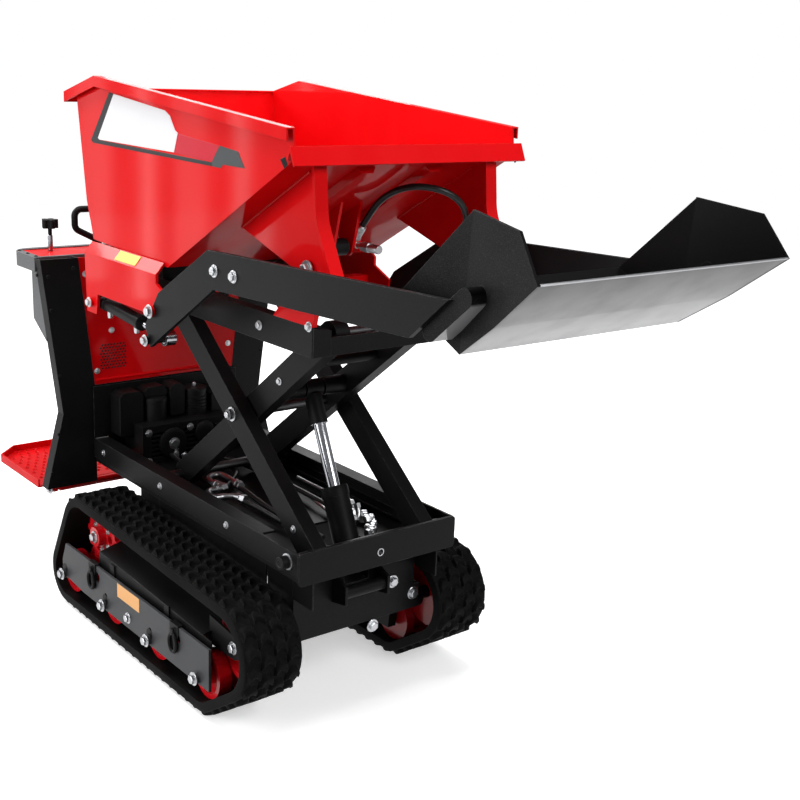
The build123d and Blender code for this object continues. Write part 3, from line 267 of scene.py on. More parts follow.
# ---------------------------------------------------------------- finishes
@dataclass(frozen=True)
class Finish:
    """One surface finish.

    Attributes:
        name: the material's name.
        slot: name of a material slot; not used.
        colour: base colour.
        tint: colour of its speckle and clouds.
        roughness: roughness of the clean surface.
        metal: 1 for bare metal.
        coat: weight of a clear coat.
        grain: scale of the grain, per metre.
        bump: depth of the grain in metres.
        worn_edge_highlight: colour of an edge, lighter than the finish, partly wear and partly painted highlight.
        worn_edge_highlight_weight: how much the edges show it.
        dusty: how much dust lies on it.
        edge: radius of the rounded edges in metres.
        speckle: weight of the speckle.
        shine: specular level, 0.5 for common plastic and enamel.
        wave: depth in metres of the slow unevenness that welding leaves in a sheet.
        painted_sheen_colour: colour of a painted reflection on faces that look down, which also brings a painted
            shade on inward and upward faces, or None where the finish has neither.
    """

    name: str
    slot: str
    colour: tuple[float, float, float]
    tint: tuple[float, float, float]
    roughness: float = 0.5
    metal: float = 0.0
    coat: float = 0.0
    grain: float = 900.0
    bump: float = 0.0002
    worn_edge_highlight: tuple[float, float, float] = (0.2, 0.2, 0.2)
    worn_edge_highlight_weight: float = 0.4
    dusty: float = 0.15
    edge: float = 0.002
    speckle: float = 0.3
    shine: float = 0.5
    wave: float = 0.0
    painted_sheen_colour: tuple[float, float, float] | None = None

    def build(self, groups: EffectGroups) -> bpy.types.Material:
        """Makes the material: speckled and clouded colour, worn edges with painted highlights, a painted reflection
        and painted shade where the finish has them, grain bump over rounded edges.

        Args:
            groups: the shared shader groups.

        Returns:
            The material.
        """
        made = bpy.data.materials.new(self.name)
        made.use_nodes = True
        made.diffuse_color = (*self.colour, 1.0)
        book = NodeBook(made.node_tree)
        shader = made.node_tree.nodes["Principled BSDF"]
        grain = groups.place(book, Effect.GRAIN, Scale=self.grain)
        edges = groups.place(book, Effect.EDGES, Radius=self.edge)
        dust = groups.place(book, Effect.DUST, Scale=5.0)
        speckle = book.math("MULTIPLY", grain.outputs["Speckle"], self.speckle)
        cloud = book.spread(dust.outputs["Cloud"], 0.3, 0.75, 0.0, 0.5)
        colour = book.blend(speckle, self.colour, self.tint)
        colour = book.blend(book.math("MULTIPLY", cloud, 0.5), colour, self.tint)
        colour = book.blend(book.math("MULTIPLY", dust.outputs["Mask"], self.dusty), colour, (0.3, 0.28, 0.25))
        # worn edges, partly wear and partly painted highlight: a lighter colour along the edges
        colour = book.blend(book.math("MULTIPLY", edges.outputs["Mask"], self.worn_edge_highlight_weight), colour, self.worn_edge_highlight)
        if self.painted_sheen_colour:
            painted_sheen_and_shade = groups.place(book, Effect.PAINTED_SHEEN_AND_SHADE)
            # painted reflection: faces that look down turn towards a pale grey that stands for the floor's
            # reflection in glossy paint
            colour = book.blend(painted_sheen_and_shade.outputs["Painted_sheen"], colour, self.painted_sheen_colour)
            # painted shade: inward and upward faces go back to the plain dark colour, without speckle, clouds,
            # dust, worn edges or the painted reflection
            colour = book.blend(painted_sheen_and_shade.outputs["Inside"], colour, self.colour)
        book.join(colour, shader.inputs["Base Color"])
        book.join(book.spread(dust.outputs["Cloud"], 0.25, 0.8, self.roughness * 0.85, self.roughness * 1.2),
                  shader.inputs["Roughness"])
        shader.inputs["Metallic"].default_value = self.metal
        if self.painted_sheen_colour:
            # the clear coat rises to full weight where the painted reflection lies
            book.join(book.spread(painted_sheen_and_shade.outputs["Painted_sheen"], 0.0, 1.0, self.coat, 1.0),
                      shader.inputs["Coat Weight"])
        else:
            shader.inputs["Coat Weight"].default_value = self.coat
        shader.inputs["Coat Roughness"].default_value = 0.07
        shader.inputs["Specular IOR Level"].default_value = self.shine
        sheet = groups.place(book, Effect.SHEET)
        wave = book.add("Bump")
        wave.inputs["Distance"].default_value = self.wave
        book.join(sheet.outputs["Height"], wave.inputs["Height"])
        book.join(edges.outputs["Normal"], wave.inputs["Normal"])
        bump = book.add("Bump")
        bump.inputs["Distance"].default_value = self.bump
        bump.inputs["Strength"].default_value = 0.6
        book.join(grain.outputs["Height"], bump.inputs["Height"])
        book.join(wave.outputs["Normal"], bump.inputs["Normal"])
        book.join(bump.outputs["Normal"], shader.inputs["Normal"])
        return made


class Paint(Enum):
    """Every finish on the machine."""

    RED = Finish("red_enamel", "red_paint", (0.68, 0.0016, 0.0036), (0.76, 0.005, 0.007), 0.48, coat=0.17,
                 grain=260, bump=0.00016, worn_edge_highlight=(0.95, 0.1, 0.08), worn_edge_highlight_weight=0.35, dusty=0.01, speckle=0.12,
                 shine=0.04, wave=0.012)
    BLACK = Finish("black_powder_coat", "black_paint", (0.003, 0.003, 0.0033), (0.015, 0.015, 0.016), 0.45,
                   grain=700, bump=0.0003, worn_edge_highlight=(0.22, 0.22, 0.225), worn_edge_highlight_weight=0.5, dusty=0.005,
                   speckle=0.6, shine=0.11)
    # the shovel carries a painted reflection on faces that look down and a painted shade on its inward and upward
    # faces
    SHOVEL = Finish("shovel_powder_coat", "black_paint", (0.002, 0.002, 0.0021), (0.045, 0.045, 0.047), 0.42,
                    coat=0.0, grain=600, bump=0.0003, worn_edge_highlight=(0.2, 0.2, 0.21), worn_edge_highlight_weight=0.5, dusty=0.0,
                    speckle=0.6, shine=0.07, painted_sheen_colour=(0.45, 0.45, 0.46))
    GUARD = Finish("guard_powder_coat", "black_paint", (0.03, 0.031, 0.034), (0.085, 0.088, 0.092), 0.46,
                   grain=650, bump=0.0004, worn_edge_highlight=(0.2, 0.2, 0.21), worn_edge_highlight_weight=0.4, dusty=0.05, speckle=0.6, shine=0.25)
    CONSOLE = Finish("console_grey", "grey_plastic", (0.085, 0.088, 0.092), (0.2, 0.205, 0.21), 0.48,
                     grain=650, bump=0.0004, worn_edge_highlight=(0.3, 0.3, 0.31), worn_edge_highlight_weight=0.4, dusty=0.08,
                     speckle=0.6, shine=0.35)
    WHEEL = Finish("wheel_enamel", "wheel_red", (0.66, 0.003, 0.01), (0.8, 0.012, 0.016), 0.3, coat=0.4,
                   grain=200, bump=0.0003, worn_edge_highlight=(0.85, 0.1, 0.1), worn_edge_highlight_weight=0.3, dusty=0.06,
                   speckle=0.15, shine=0.3)
    ENGINE = Finish("engine_black", "engine_black", (0.003, 0.003, 0.0033), (0.014, 0.014, 0.015), 0.42,
                    grain=400, bump=0.0004, worn_edge_highlight=(0.07, 0.07, 0.07), worn_edge_highlight_weight=0.3, dusty=0.01, shine=0.12)
    ZINC = Finish("bright_zinc", "bare_steel", (0.5, 0.51, 0.53), (0.66, 0.67, 0.68), 0.3, metal=1.0, grain=300,
                  bump=0.0001, worn_edge_highlight=(0.8, 0.8, 0.8), worn_edge_highlight_weight=0.5, dusty=0.0, edge=0.001, speckle=0.3)
    SHAFT = Finish("oiled_shaft", "bare_steel", (0.11, 0.11, 0.115), (0.22, 0.22, 0.225), 0.35, metal=1.0,
                   grain=300, bump=0.0001, worn_edge_highlight=(0.45, 0.45, 0.45), worn_edge_highlight_weight=0.5, dusty=0.03)
    CHROME = Finish("hard_chrome", "chrome_rod", (0.42, 0.43, 0.46), (0.52, 0.52, 0.55), 0.16, metal=1.0,
                    grain=500, bump=0.00002, worn_edge_highlight=(0.95, 0.95, 0.95), worn_edge_highlight_weight=0.2, dusty=0.0,
                    edge=0.001, speckle=0.1)
    RUBBER = Finish("track_rubber", "rubber", (0.0015, 0.0015, 0.0016), (0.0055, 0.0055, 0.0057), 0.7,
                    grain=240, bump=0.0006, worn_edge_highlight=(0.055, 0.052, 0.05), worn_edge_highlight_weight=0.7, dusty=0.01, edge=0.0025,
                    speckle=0.5, shine=0.08)
    HOSE = Finish("hose_rubber", "rubber", (0.004, 0.004, 0.0044), (0.014, 0.014, 0.014), 0.38, grain=500,
                  bump=0.0002, worn_edge_highlight_weight=0.1, dusty=0.01, shine=0.3)
    WHITE = Finish("white_panel", "red_paint", (0.82, 0.82, 0.84), (0.74, 0.75, 0.77), 0.4, grain=300,
                   bump=0.00005, worn_edge_highlight_weight=0.0, dusty=0.03, speckle=0.2, shine=0.3)
    CARBON = Finish("dark_grey_panel", "red_paint", (0.012, 0.013, 0.015), (0.04, 0.042, 0.046), 0.45,
                    grain=400, bump=0.0001, worn_edge_highlight_weight=0.0, dusty=0.03, speckle=0.4, shine=0.3)
    SLATE = Finish("slate_panel", "red_paint", (0.045, 0.052, 0.056), (0.09, 0.095, 0.1), 0.45, grain=400,
                   bump=0.0001, worn_edge_highlight_weight=0.0, dusty=0.03, speckle=0.5, shine=0.3)
    CRIMSON = Finish("crimson_panel", "red_paint", (0.55, 0.002, 0.02), (0.62, 0.008, 0.03), 0.4, grain=300,
                     bump=0.0001, worn_edge_highlight_weight=0.0, dusty=0.02, speckle=0.3, shine=0.3)
    YELLOW = Finish("yellow_panel", "red_paint", (0.85, 0.55, 0.06), (0.95, 0.68, 0.15), 0.5, grain=300,
                    bump=0.0001, worn_edge_highlight=(0.95, 0.8, 0.4), worn_edge_highlight_weight=0.2, dusty=0.1, speckle=0.3)
    ORANGE = Finish("orange_panel", "black_paint", (0.85, 0.42, 0.14), (0.9, 0.55, 0.28), 0.5, grain=300,
                    bump=0.0001, worn_edge_highlight=(0.95, 0.7, 0.4), worn_edge_highlight_weight=0.2, dusty=0.1, speckle=0.3)


class PaintShop:
    """Gives each finish its material, made once."""

    def __init__(self) -> None:
        """Builds the shared groups."""
        self.groups = EffectGroups()
        self.made: dict[Paint, bpy.types.Material] = {}

    def material(self, paint: Paint) -> bpy.types.Material:
        """The material of a finish."""
        if paint not in self.made:
            self.made[paint] = paint.value.build(self.groups)
        return self.made[paint]

    def coat(self, thing: bpy.types.Object, paint: Paint) -> None:
        """Puts a finish on a whole object."""
        thing.data.materials.clear()
        thing.data.materials.append(self.material(paint))


# ---------------------------------------------------------------- surfaces
def unit(vector: Point) -> Array:
    """The vector at length 1."""
    value = np.asarray(vector, float)
    return value / np.linalg.norm(value)


def across(axis: Array) -> tuple[Array, Array]:
    """Two unit vectors square to an axis and to each other."""
    other = np.array((0.0, 0.0, 1.0)) if abs(axis[2]) < 0.9 else np.array((1.0, 0.0, 0.0))
    first = unit(np.cross(other, axis))
    return first, np.cross(axis, first)


def grid_faces(rows: int, columns: int, wrap_rows: bool = False, wrap_columns: bool = False) -> Array:
    """Quads of a grid whose point (i, j) has the number i * columns + j."""
    i, j = np.meshgrid(np.arange(rows if wrap_rows else rows - 1),
                       np.arange(columns if wrap_columns else columns - 1), indexing="ij")
    down, right = (i + 1) % rows, (j + 1) % columns
    corners = (i * columns + j, i * columns + right, down * columns + right, down * columns + j)
    return np.stack(corners, -1).reshape(-1, 4)


@dataclass
class Piece:
    """Points and faces of one piece under way.

    Attributes:
        name: the piece's name.
        body: the CAD body that it rides on.
        paint: its finish.
    """

    name: str
    body: str
    paint: Paint
    points: list[Array] = field(default_factory=list)
    faces: list[list[int]] = field(default_factory=list)
    count: int = 0

    def add(self, points: Array, faces: Iterable[Sequence[int]]) -> "Piece":
        """Adds points and the faces between them."""
        self.faces += [[int(n) + self.count for n in face] for face in faces]
        self.points.append(np.asarray(points, float).reshape(-1, 3))
        self.count += len(self.points[-1])
        return self

    def turned(self, profile: Sequence[tuple[float, float]], foot: Point, axis: Point, sides: int = 24,
               spin: float = 0.0) -> "Piece":
        """A turned form: point (h, a) = foot + h axis + r(h) (cos a, sin a), closed by flat ends.

        Args:
            profile: (radius, height) from foot to top.
            foot: where height is 0.
            axis: direction of height.
            sides: points round it; six makes a hexagon.
            spin: turn about the axis in radians.

        Returns:
            The piece.
        """
        axis = unit(axis)
        first, second = across(axis)
        angle = spin + np.linspace(0, 2 * math.pi, sides, endpoint=False)
        ring = np.cos(angle)[:, None] * first + np.sin(angle)[:, None] * second
        radius, height = np.asarray(profile, float).T
        points = np.asarray(foot, float) + height[:, None, None] * axis + radius[:, None, None] * ring
        faces = grid_faces(len(profile), sides, wrap_columns=True).tolist()
        last = (len(profile) - 1) * sides
        faces += [list(range(sides))[::-1], [last + n for n in range(sides)]]
        return self.add(points, faces)

    def hoop(self, section: Sequence[tuple[float, float]], foot: Point, axis: Point,
             sides: int = 36) -> "Piece":
        """A ring: a closed section of (radius, height) turned about an axis, open through its middle."""
        axis = unit(axis)
        first, second = across(axis)
        angle = np.linspace(0, 2 * math.pi, sides, endpoint=False)
        ring = np.cos(angle)[:, None] * first + np.sin(angle)[:, None] * second
        radius, height = np.asarray(section, float).T
        points = np.asarray(foot, float) + height[:, None, None] * axis + radius[:, None, None] * ring
        return self.add(points, grid_faces(len(section), sides, True, True).tolist())

    def tube(self, path: Array, radius: float, sides: int = 12) -> "Piece":
        """A round tube: point (s, a) = path(s) + r (cos a, sin a) in a frame carried along the path.

        The frame at each point is square to the path's tangent and leans as little as it can from a
        fixed direction, taken square to the path's mean plane.

        Args:
            path: points along the middle.
            radius: the tube's radius.
            sides: points round it.

        Returns:
            The piece.
        """
        path = np.asarray(path, float)
        tangent = np.gradient(path, axis=0)
        tangent /= np.linalg.norm(tangent, axis=1)[:, None]
        spread = path - path.mean(0)
        normal = np.linalg.svd(spread)[2][-1]
        first = np.cross(tangent, normal)
        first /= np.linalg.norm(first, axis=1)[:, None]
        second = np.cross(tangent, first)
        angle = np.linspace(0, 2 * math.pi, sides, endpoint=False)
        points = path[:, None] + radius * (np.cos(angle)[None, :, None] * first[:, None]
                                           + np.sin(angle)[None, :, None] * second[:, None])
        faces = grid_faces(len(path), sides, wrap_columns=True).tolist()
        last = (len(path) - 1) * sides
        faces += [list(range(sides))[::-1], [last + n for n in range(sides)]]
        return self.add(points, faces)

    def plate(self, outline: Sequence[Point], depth: Point) -> "Piece":
        """A flat plate: its outline's points and the same points moved by depth."""
        low = np.asarray(outline, float)
        count = len(low)
        points = np.concatenate((low, low + np.asarray(depth, float)))
        faces = [[n, (n + 1) % count, (n + 1) % count + count, n + count] for n in range(count)]
        faces += [list(range(count))[::-1], [n + count for n in range(count)]]
        return self.add(points, faces)

    def bolt(self, place: Point, axis: Point, size: float = 0.012, washer: bool = True,
             sides: int = 6) -> "Piece":
        """A hexagon bolt head with a chamfer, on its washer; size is the head's corner radius."""
        foot = np.asarray(place, float)
        axis = unit(axis)
        if washer:
            self.turned(((1.45 * size, 0), (1.45 * size, 0.16 * size), (1.38 * size, 0.22 * size)),
                        foot, axis, 20)
            foot = foot + 0.2 * size * axis
        spin = 7.3 * abs(foot[0]) + 3.1 * abs(foot[2])
        height = 0.72 * size
        profile = ((size, 0), (size, 0.86 * height), (0.86 * size, height), (0.5 * size, height * 1.02))
        return self.turned(profile, foot, axis, sides, spin)

    def make(self, shop: PaintShop, bevel: float = 0.0, smooth: bool = True) -> bpy.types.Object:
        """Builds the mesh, turns its faces outwards, dresses it and makes it ride on its body.

        Args:
            shop: where its finish comes from.
            bevel: width of a bevel on its edges, or 0.
            smooth: whether it is shaded smooth up to 30 degrees.

        Returns:
            The object.
        """
        mesh = bpy.data.meshes.new(self.name)
        mesh.from_pydata(np.concatenate(self.points).tolist(), [], self.faces)
        edit = bmesh.new()
        edit.from_mesh(mesh)
        bmesh.ops.remove_doubles(edit, verts=edit.verts, dist=1e-6)
        bmesh.ops.recalc_face_normals(edit, faces=edit.faces)
        edit.to_mesh(mesh)
        edit.free()
        thing = bpy.data.objects.new(self.name, mesh)
        bpy.context.scene.collection.objects.link(thing)
        if bevel:
            rounding = thing.modifiers.new("edge", "BEVEL")
            rounding.width, rounding.segments, rounding.limit_method = bevel, 2, "ANGLE"
            rounding.angle_limit = math.radians(35)
        if smooth:
            mesh.shade_smooth()
            mesh.set_sharp_from_angle(angle=math.radians(32))
        shop.coat(thing, self.paint)
        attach(thing, self.body)
        LOG.info("%s: %d faces on %s", self.name, len(mesh.polygons), self.body)
        return thing


# ---------------------------------------------------------------- places
DRAWING_SHIFT = 98.0
"""Millimetres from the middle of the machine's length to the drawing's x = 0."""


def at(x: float, y: float, z: float) -> Array:
    """A point of the machine's drawing, in millimetres, as metres in the machine's frame."""
    return np.array((x + DRAWING_SHIFT, y, z)) / 1000.0


def smooth_path(points: Sequence[Point], steps: int = 8) -> Array:
    """A Catmull-Rom curve through points: between p1 and p2 it is a cubic whose slope at each is half
    the way from the point before to the point after.

    Args:
        points: the points in order.
        steps: points made for each run.

    Returns:
        The curve's points.
    """
    given = np.asarray(points, float)
    held = np.concatenate((2 * given[:1] - given[1:2], given, 2 * given[-1:] - given[-2:-1]))
    t = np.linspace(0, 1, steps, endpoint=False)[:, None, None]
    before, first, second, after = held[:-3], held[1:-2], held[2:-1], held[3:]
    curve = 0.5 * (2 * first + (second - before) * t + (2 * before - 5 * first + 4 * second - after) * t ** 2
                   + (3 * first - before - 3 * second + after) * t ** 3)
    return np.concatenate((curve.transpose(1, 0, 2).reshape(-1, 3), given[-1:]))


def arc(centre: Point, first: Array, second: Array, radius: float, start: float, end: float,
        count: int) -> Array:
    """Points centre + r (cos a first + sin a second), with a in degrees from start to end."""
    angle = np.radians(np.linspace(start, end, count))[:, None]
    return np.asarray(centre, float) + radius * (np.cos(angle) * first + np.sin(angle) * second)


X_AXIS, Y_AXIS, Z_AXIS = np.eye(3)


# ---------------------------------------------------------------- sub-assemblies
@dataclass
class Undercarriage:
    """Bolts, lashing rings and blank panels of the tracks' guards and wheels, and the rollers' covers.

    Attributes:
        roller_x: places of the road rollers.
        axle_z: height of their axles.
        guard_y: the guard's outer face.
        lashing: middles (x, z) of the lashing places.
        sprocket: middle (x, z) of the drive sprocket.
        idler: middle (x, z) of the front idler.
    """

    shop: PaintShop
    roller_x: tuple[float, ...] = (-768, -496, -228, 33)
    axle_z: float = 103
    guard_y: float = 389
    lashing: tuple[tuple[float, float], ...] = ((-570, 178), (-83, 178))
    sprocket: tuple[float, float] = (-650, 250)
    idler: tuple[float, float] = (137, 217)

    def build(self) -> None:
        """Makes the fittings of both sides."""
        for side, hand in SIDES:
            self.axle_bolts(side, hand)
            self.lashing_rings(side, hand)
            self.wheel_bolts(side, hand)
            self.label(side, hand)
            self.covers(side, hand)

    def axle_bolts(self, side: int, hand: str) -> None:
        """Zinc bolts in the axles' ends, and one in the guard between them."""
        bolts = Piece(f"axle_bolts_{hand}", "chassis", Paint.ZINC)
        for x in self.roller_x:
            bolts.bolt(at(x, side * (self.guard_y + 9.5), self.axle_z), side * Y_AXIS, 0.0125)
        bolts.bolt(at(-351, side * (self.guard_y - 0.5), 118), side * Y_AXIS, 0.011)
        bolts.make(self.shop)

    def lashing_rings(self, side: int, hand: str) -> None:
        """A folded bracket over the guard's top edge at each lashing place and the oval ring in it."""
        rings = Piece(f"lashing_rings_{hand}", "chassis", Paint.BLACK)
        brackets = Piece(f"lashing_brackets_{hand}", "chassis", Paint.BLACK)
        for x, z in self.lashing:
            y = side * (self.guard_y + 6)
            angle = np.linspace(0, 2 * math.pi, 32)
            path = np.stack((x + 18 * np.cos(angle), np.full_like(angle, y), z - 22 + 26 * np.sin(angle)), 1)
            rings.tube((path + (DRAWING_SHIFT, 0, 0)) / 1000, 0.0056, 12)
            fold = np.array(((-15, -10), (-22, 2), (-22, 27), (22, 27), (22, 2), (15, -10)))
            outline = [at(x + a, side * (self.guard_y + 0.2), z + b) for a, b in fold]
            brackets.plate(outline, (0, side * 0.0032, 0))
            lid = ((-22, 376), (22, 376), (22, 392), (-22, 392))
            brackets.plate([at(x + a, side * b, z + 26) for a, b in lid], (0, 0, 0.004))
            brackets.turned(((0.0085, 0), (0.0085, 0.006), (0.006, 0.008)),
                            at(x, side * (self.guard_y + 3), z + 12), side * Y_AXIS, 18)
        for x in self.roller_x[:-1]:
            brackets.turned(((0.0165, 0), (0.0165, 0.0006)),
                            at(x + 3, side * (self.guard_y - 0.2), self.axle_z + 17), side * Y_AXIS, 26)
        rings.make(self.shop)
        brackets.make(self.shop, 0.0008)

    def covers(self, side: int, hand: str) -> None:
        """A folded cover over the rollers and the fork that carries the idler's axle.

        The cover is an upright plate outside the rollers with a roof that slants up inwards, and two straps.
        """
        cover = Piece(f"roller_cover_{hand}", "chassis", Paint.BLACK)
        cover.plate([at(x, side * 368, z) for x, z in ((-560, 150), (75, 150), (75, 215), (-560, 240))],
                    (0, side * 0.004, 0))
        cover.plate([at(-560, side * 371, 237), at(30, side * 371, 213), at(30, side * 262, 243),
                     at(-560, side * 262, 268)], (0, 0, 0.004))
        for x in (-470, -150):
            cover.plate([at(x + a, side * 372.2, z) for a, z in ((-16, 152), (16, 152), (12, 232), (-12, 232))],
                        (0, side * 0.005, 0))
        fork = [at(20, side * 337, 262), at(20, side * 337, 184)]
        fork += list(arc(at(self.idler[0], side * 337, self.idler[1]), X_AXIS, Z_AXIS, 0.032, -88, 82, 16))
        cover.plate(fork, (0, side * 0.008, 0))
        cover.make(self.shop, 0.0009)

    def wheel_bolts(self, side: int, hand: str) -> None:
        """Bolts in the sprocket's hub and the idler's axle."""
        bolts = Piece(f"wheel_bolts_{hand}", "chassis", Paint.ZINC)
        hub_x, hub_z = self.sprocket
        bolt_circle = 46
        bolts.bolt(at(hub_x, side * 344, hub_z), side * Y_AXIS, 0.013)
        bolts.bolt(at(self.idler[0], side * 345, self.idler[1]), side * Y_AXIS, 0.012)
        for k in range(6):
            angle = math.radians(60 * k + 30)
            bolts.bolt(at(hub_x + bolt_circle * math.cos(angle), side * 320,
                          hub_z + bolt_circle * math.sin(angle)),
                       side * Y_AXIS, 0.0065)
        bolts.make(self.shop)

    def label(self, side: int, hand: str) -> None:
        """A blank orange panel on the guard."""
        panel = Piece(f"guard_panel_{hand}", "chassis", Paint.ORANGE)
        y = side * (self.guard_y - 0.3)
        panel.plate([at(x, y, z) for x, z in ((-413, 160), (-281, 160), (-281, 201), (-413, 201))],
                    (0, side * 0.0011, 0))
        panel.make(self.shop, 0.0003)


@dataclass
class Tracks:
    """The two rubber belts with their tread.

    Attributes:
        wheels: x, z and radius of each wheel that the belt runs round, in drawing millimetres.
        middle: the belt's middle, from the machine's middle.
        half: half the belt's width, 6 mm less than that of the solid it replaces.
        belt: thickness of the plain belt.
        lug: height of the tread on it.
        pitch: about how far apart the lugs of a column are.
        columns: middles of the lugs' columns, from the belt's middle.
    """

    shop: PaintShop
    wheels: tuple[tuple[float, float, float], ...] = ((-768, 103, 65), (33, 103, 65), (137, 217, 101),
                                                      (-650, 250, 98))
    middle: float = 306
    half: float = 84
    belt: float = 26
    lug: float = 12
    pitch: float = 43
    columns: tuple[float, ...] = (-57.5, -19.2, 19.2, 57.5)

    def build(self) -> None:
        """Makes both belts in place of the plain solids."""
        line, outward, run = self.loop()
        for side, hand in SIDES:
            belt = Piece(f"tread_belt_{hand}", "chassis", Paint.RUBBER)
            across_y, offset = self.section(run)
            way = offset[:, :, None] * outward[:, None, :]
            flat = line[:, None, :] + way
            y = side * (self.middle + np.broadcast_to(across_y, offset.shape))
            points = np.stack((flat[..., 0] + DRAWING_SHIFT, y, flat[..., 1]), -1) / 1000
            belt.add(points, grid_faces(*offset.shape, True, True).tolist())
            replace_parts(belt.make(self.shop), f"track_{hand}")

    def loop(self) -> tuple[Array, Array, Array]:
        """The belt's inside line: for each heading, the point of the wheel that reaches furthest that way.

        Returns:
            Evenly spaced points (x, z), their outward headings, and their place along the line in lug pitches.
        """
        angle = np.linspace(0, 2 * math.pi, 2881)
        way = np.stack((np.cos(angle), np.sin(angle)), 1)
        wheels = np.asarray(self.wheels, float)
        furthest = wheels[(way @ wheels[:, :2].T + wheels[:, 2]).argmax(1)]
        line = furthest[:, :2] + furthest[:, 2:] * way
        run = np.concatenate(((0.0,), np.cumsum(np.linalg.norm(np.diff(line, axis=0), axis=1))))
        lugs = round(run[-1] / self.pitch)
        count = lugs * 14
        even = np.arange(count) * run[-1] / count
        points = np.stack([np.interp(even, run, line[:, k]) for k in (0, 1)], 1)
        outward = np.stack([np.interp(even, run, way[:, k]) for k in (0, 1)], 1)
        return points, outward / np.linalg.norm(outward, axis=1)[:, None], even * lugs / run[-1]

    def section(self, run: Array) -> tuple[Array, Array]:
        """The belt's section at each place: y across it, and how far out it stands.

        A lug's height at (s, y) is the product of two ramps: one falls off with the distance of s from
        the lug's bowed middle line s0 + 0.34 (1 - u^2), with u from -1 to 1 across the column, and one
        with the distance of y from the column's middle. Every other column is half a pitch on.

        Args:
            run: places along the belt, in lug pitches.

        Returns:
            The section's y values, and an array of offsets in millimetres, one row for each place.
        """
        top = np.linspace(-self.half + 4, self.half - 4, 53)
        height = np.zeros((len(run), len(top)))
        for number, middle in enumerate(self.columns):
            u = np.clip((top - middle) / 20, -1, 1)
            shift = run[:, None] - 0.5 * (number % 2) - 0.34 * (1 - u ** 2)[None, :]
            distance = np.abs((shift + 0.5) % 1 - 0.5) * self.pitch
            lug = np.clip((12.5 - distance) / 6.5, 0, 1)
            side = np.clip((19.5 - np.abs(top - middle)) / 3.2, 0, 1)
            height = np.maximum(height, lug * side[None, :])
        edge = np.array((-self.half, -self.half, -self.half + 1.5))
        y = np.concatenate((edge, top, -edge[::-1]))
        start = np.array((0.0, self.belt - 5, self.belt - 1.2))
        end = np.array((self.belt - 1.2, self.belt - 5, 0.0))
        rows = len(run)
        tread = self.belt + self.lug * height
        offset = np.concatenate((np.tile(start, (rows, 1)), tread, np.tile(end, (rows, 1))), 1)
        return y[None, :], offset


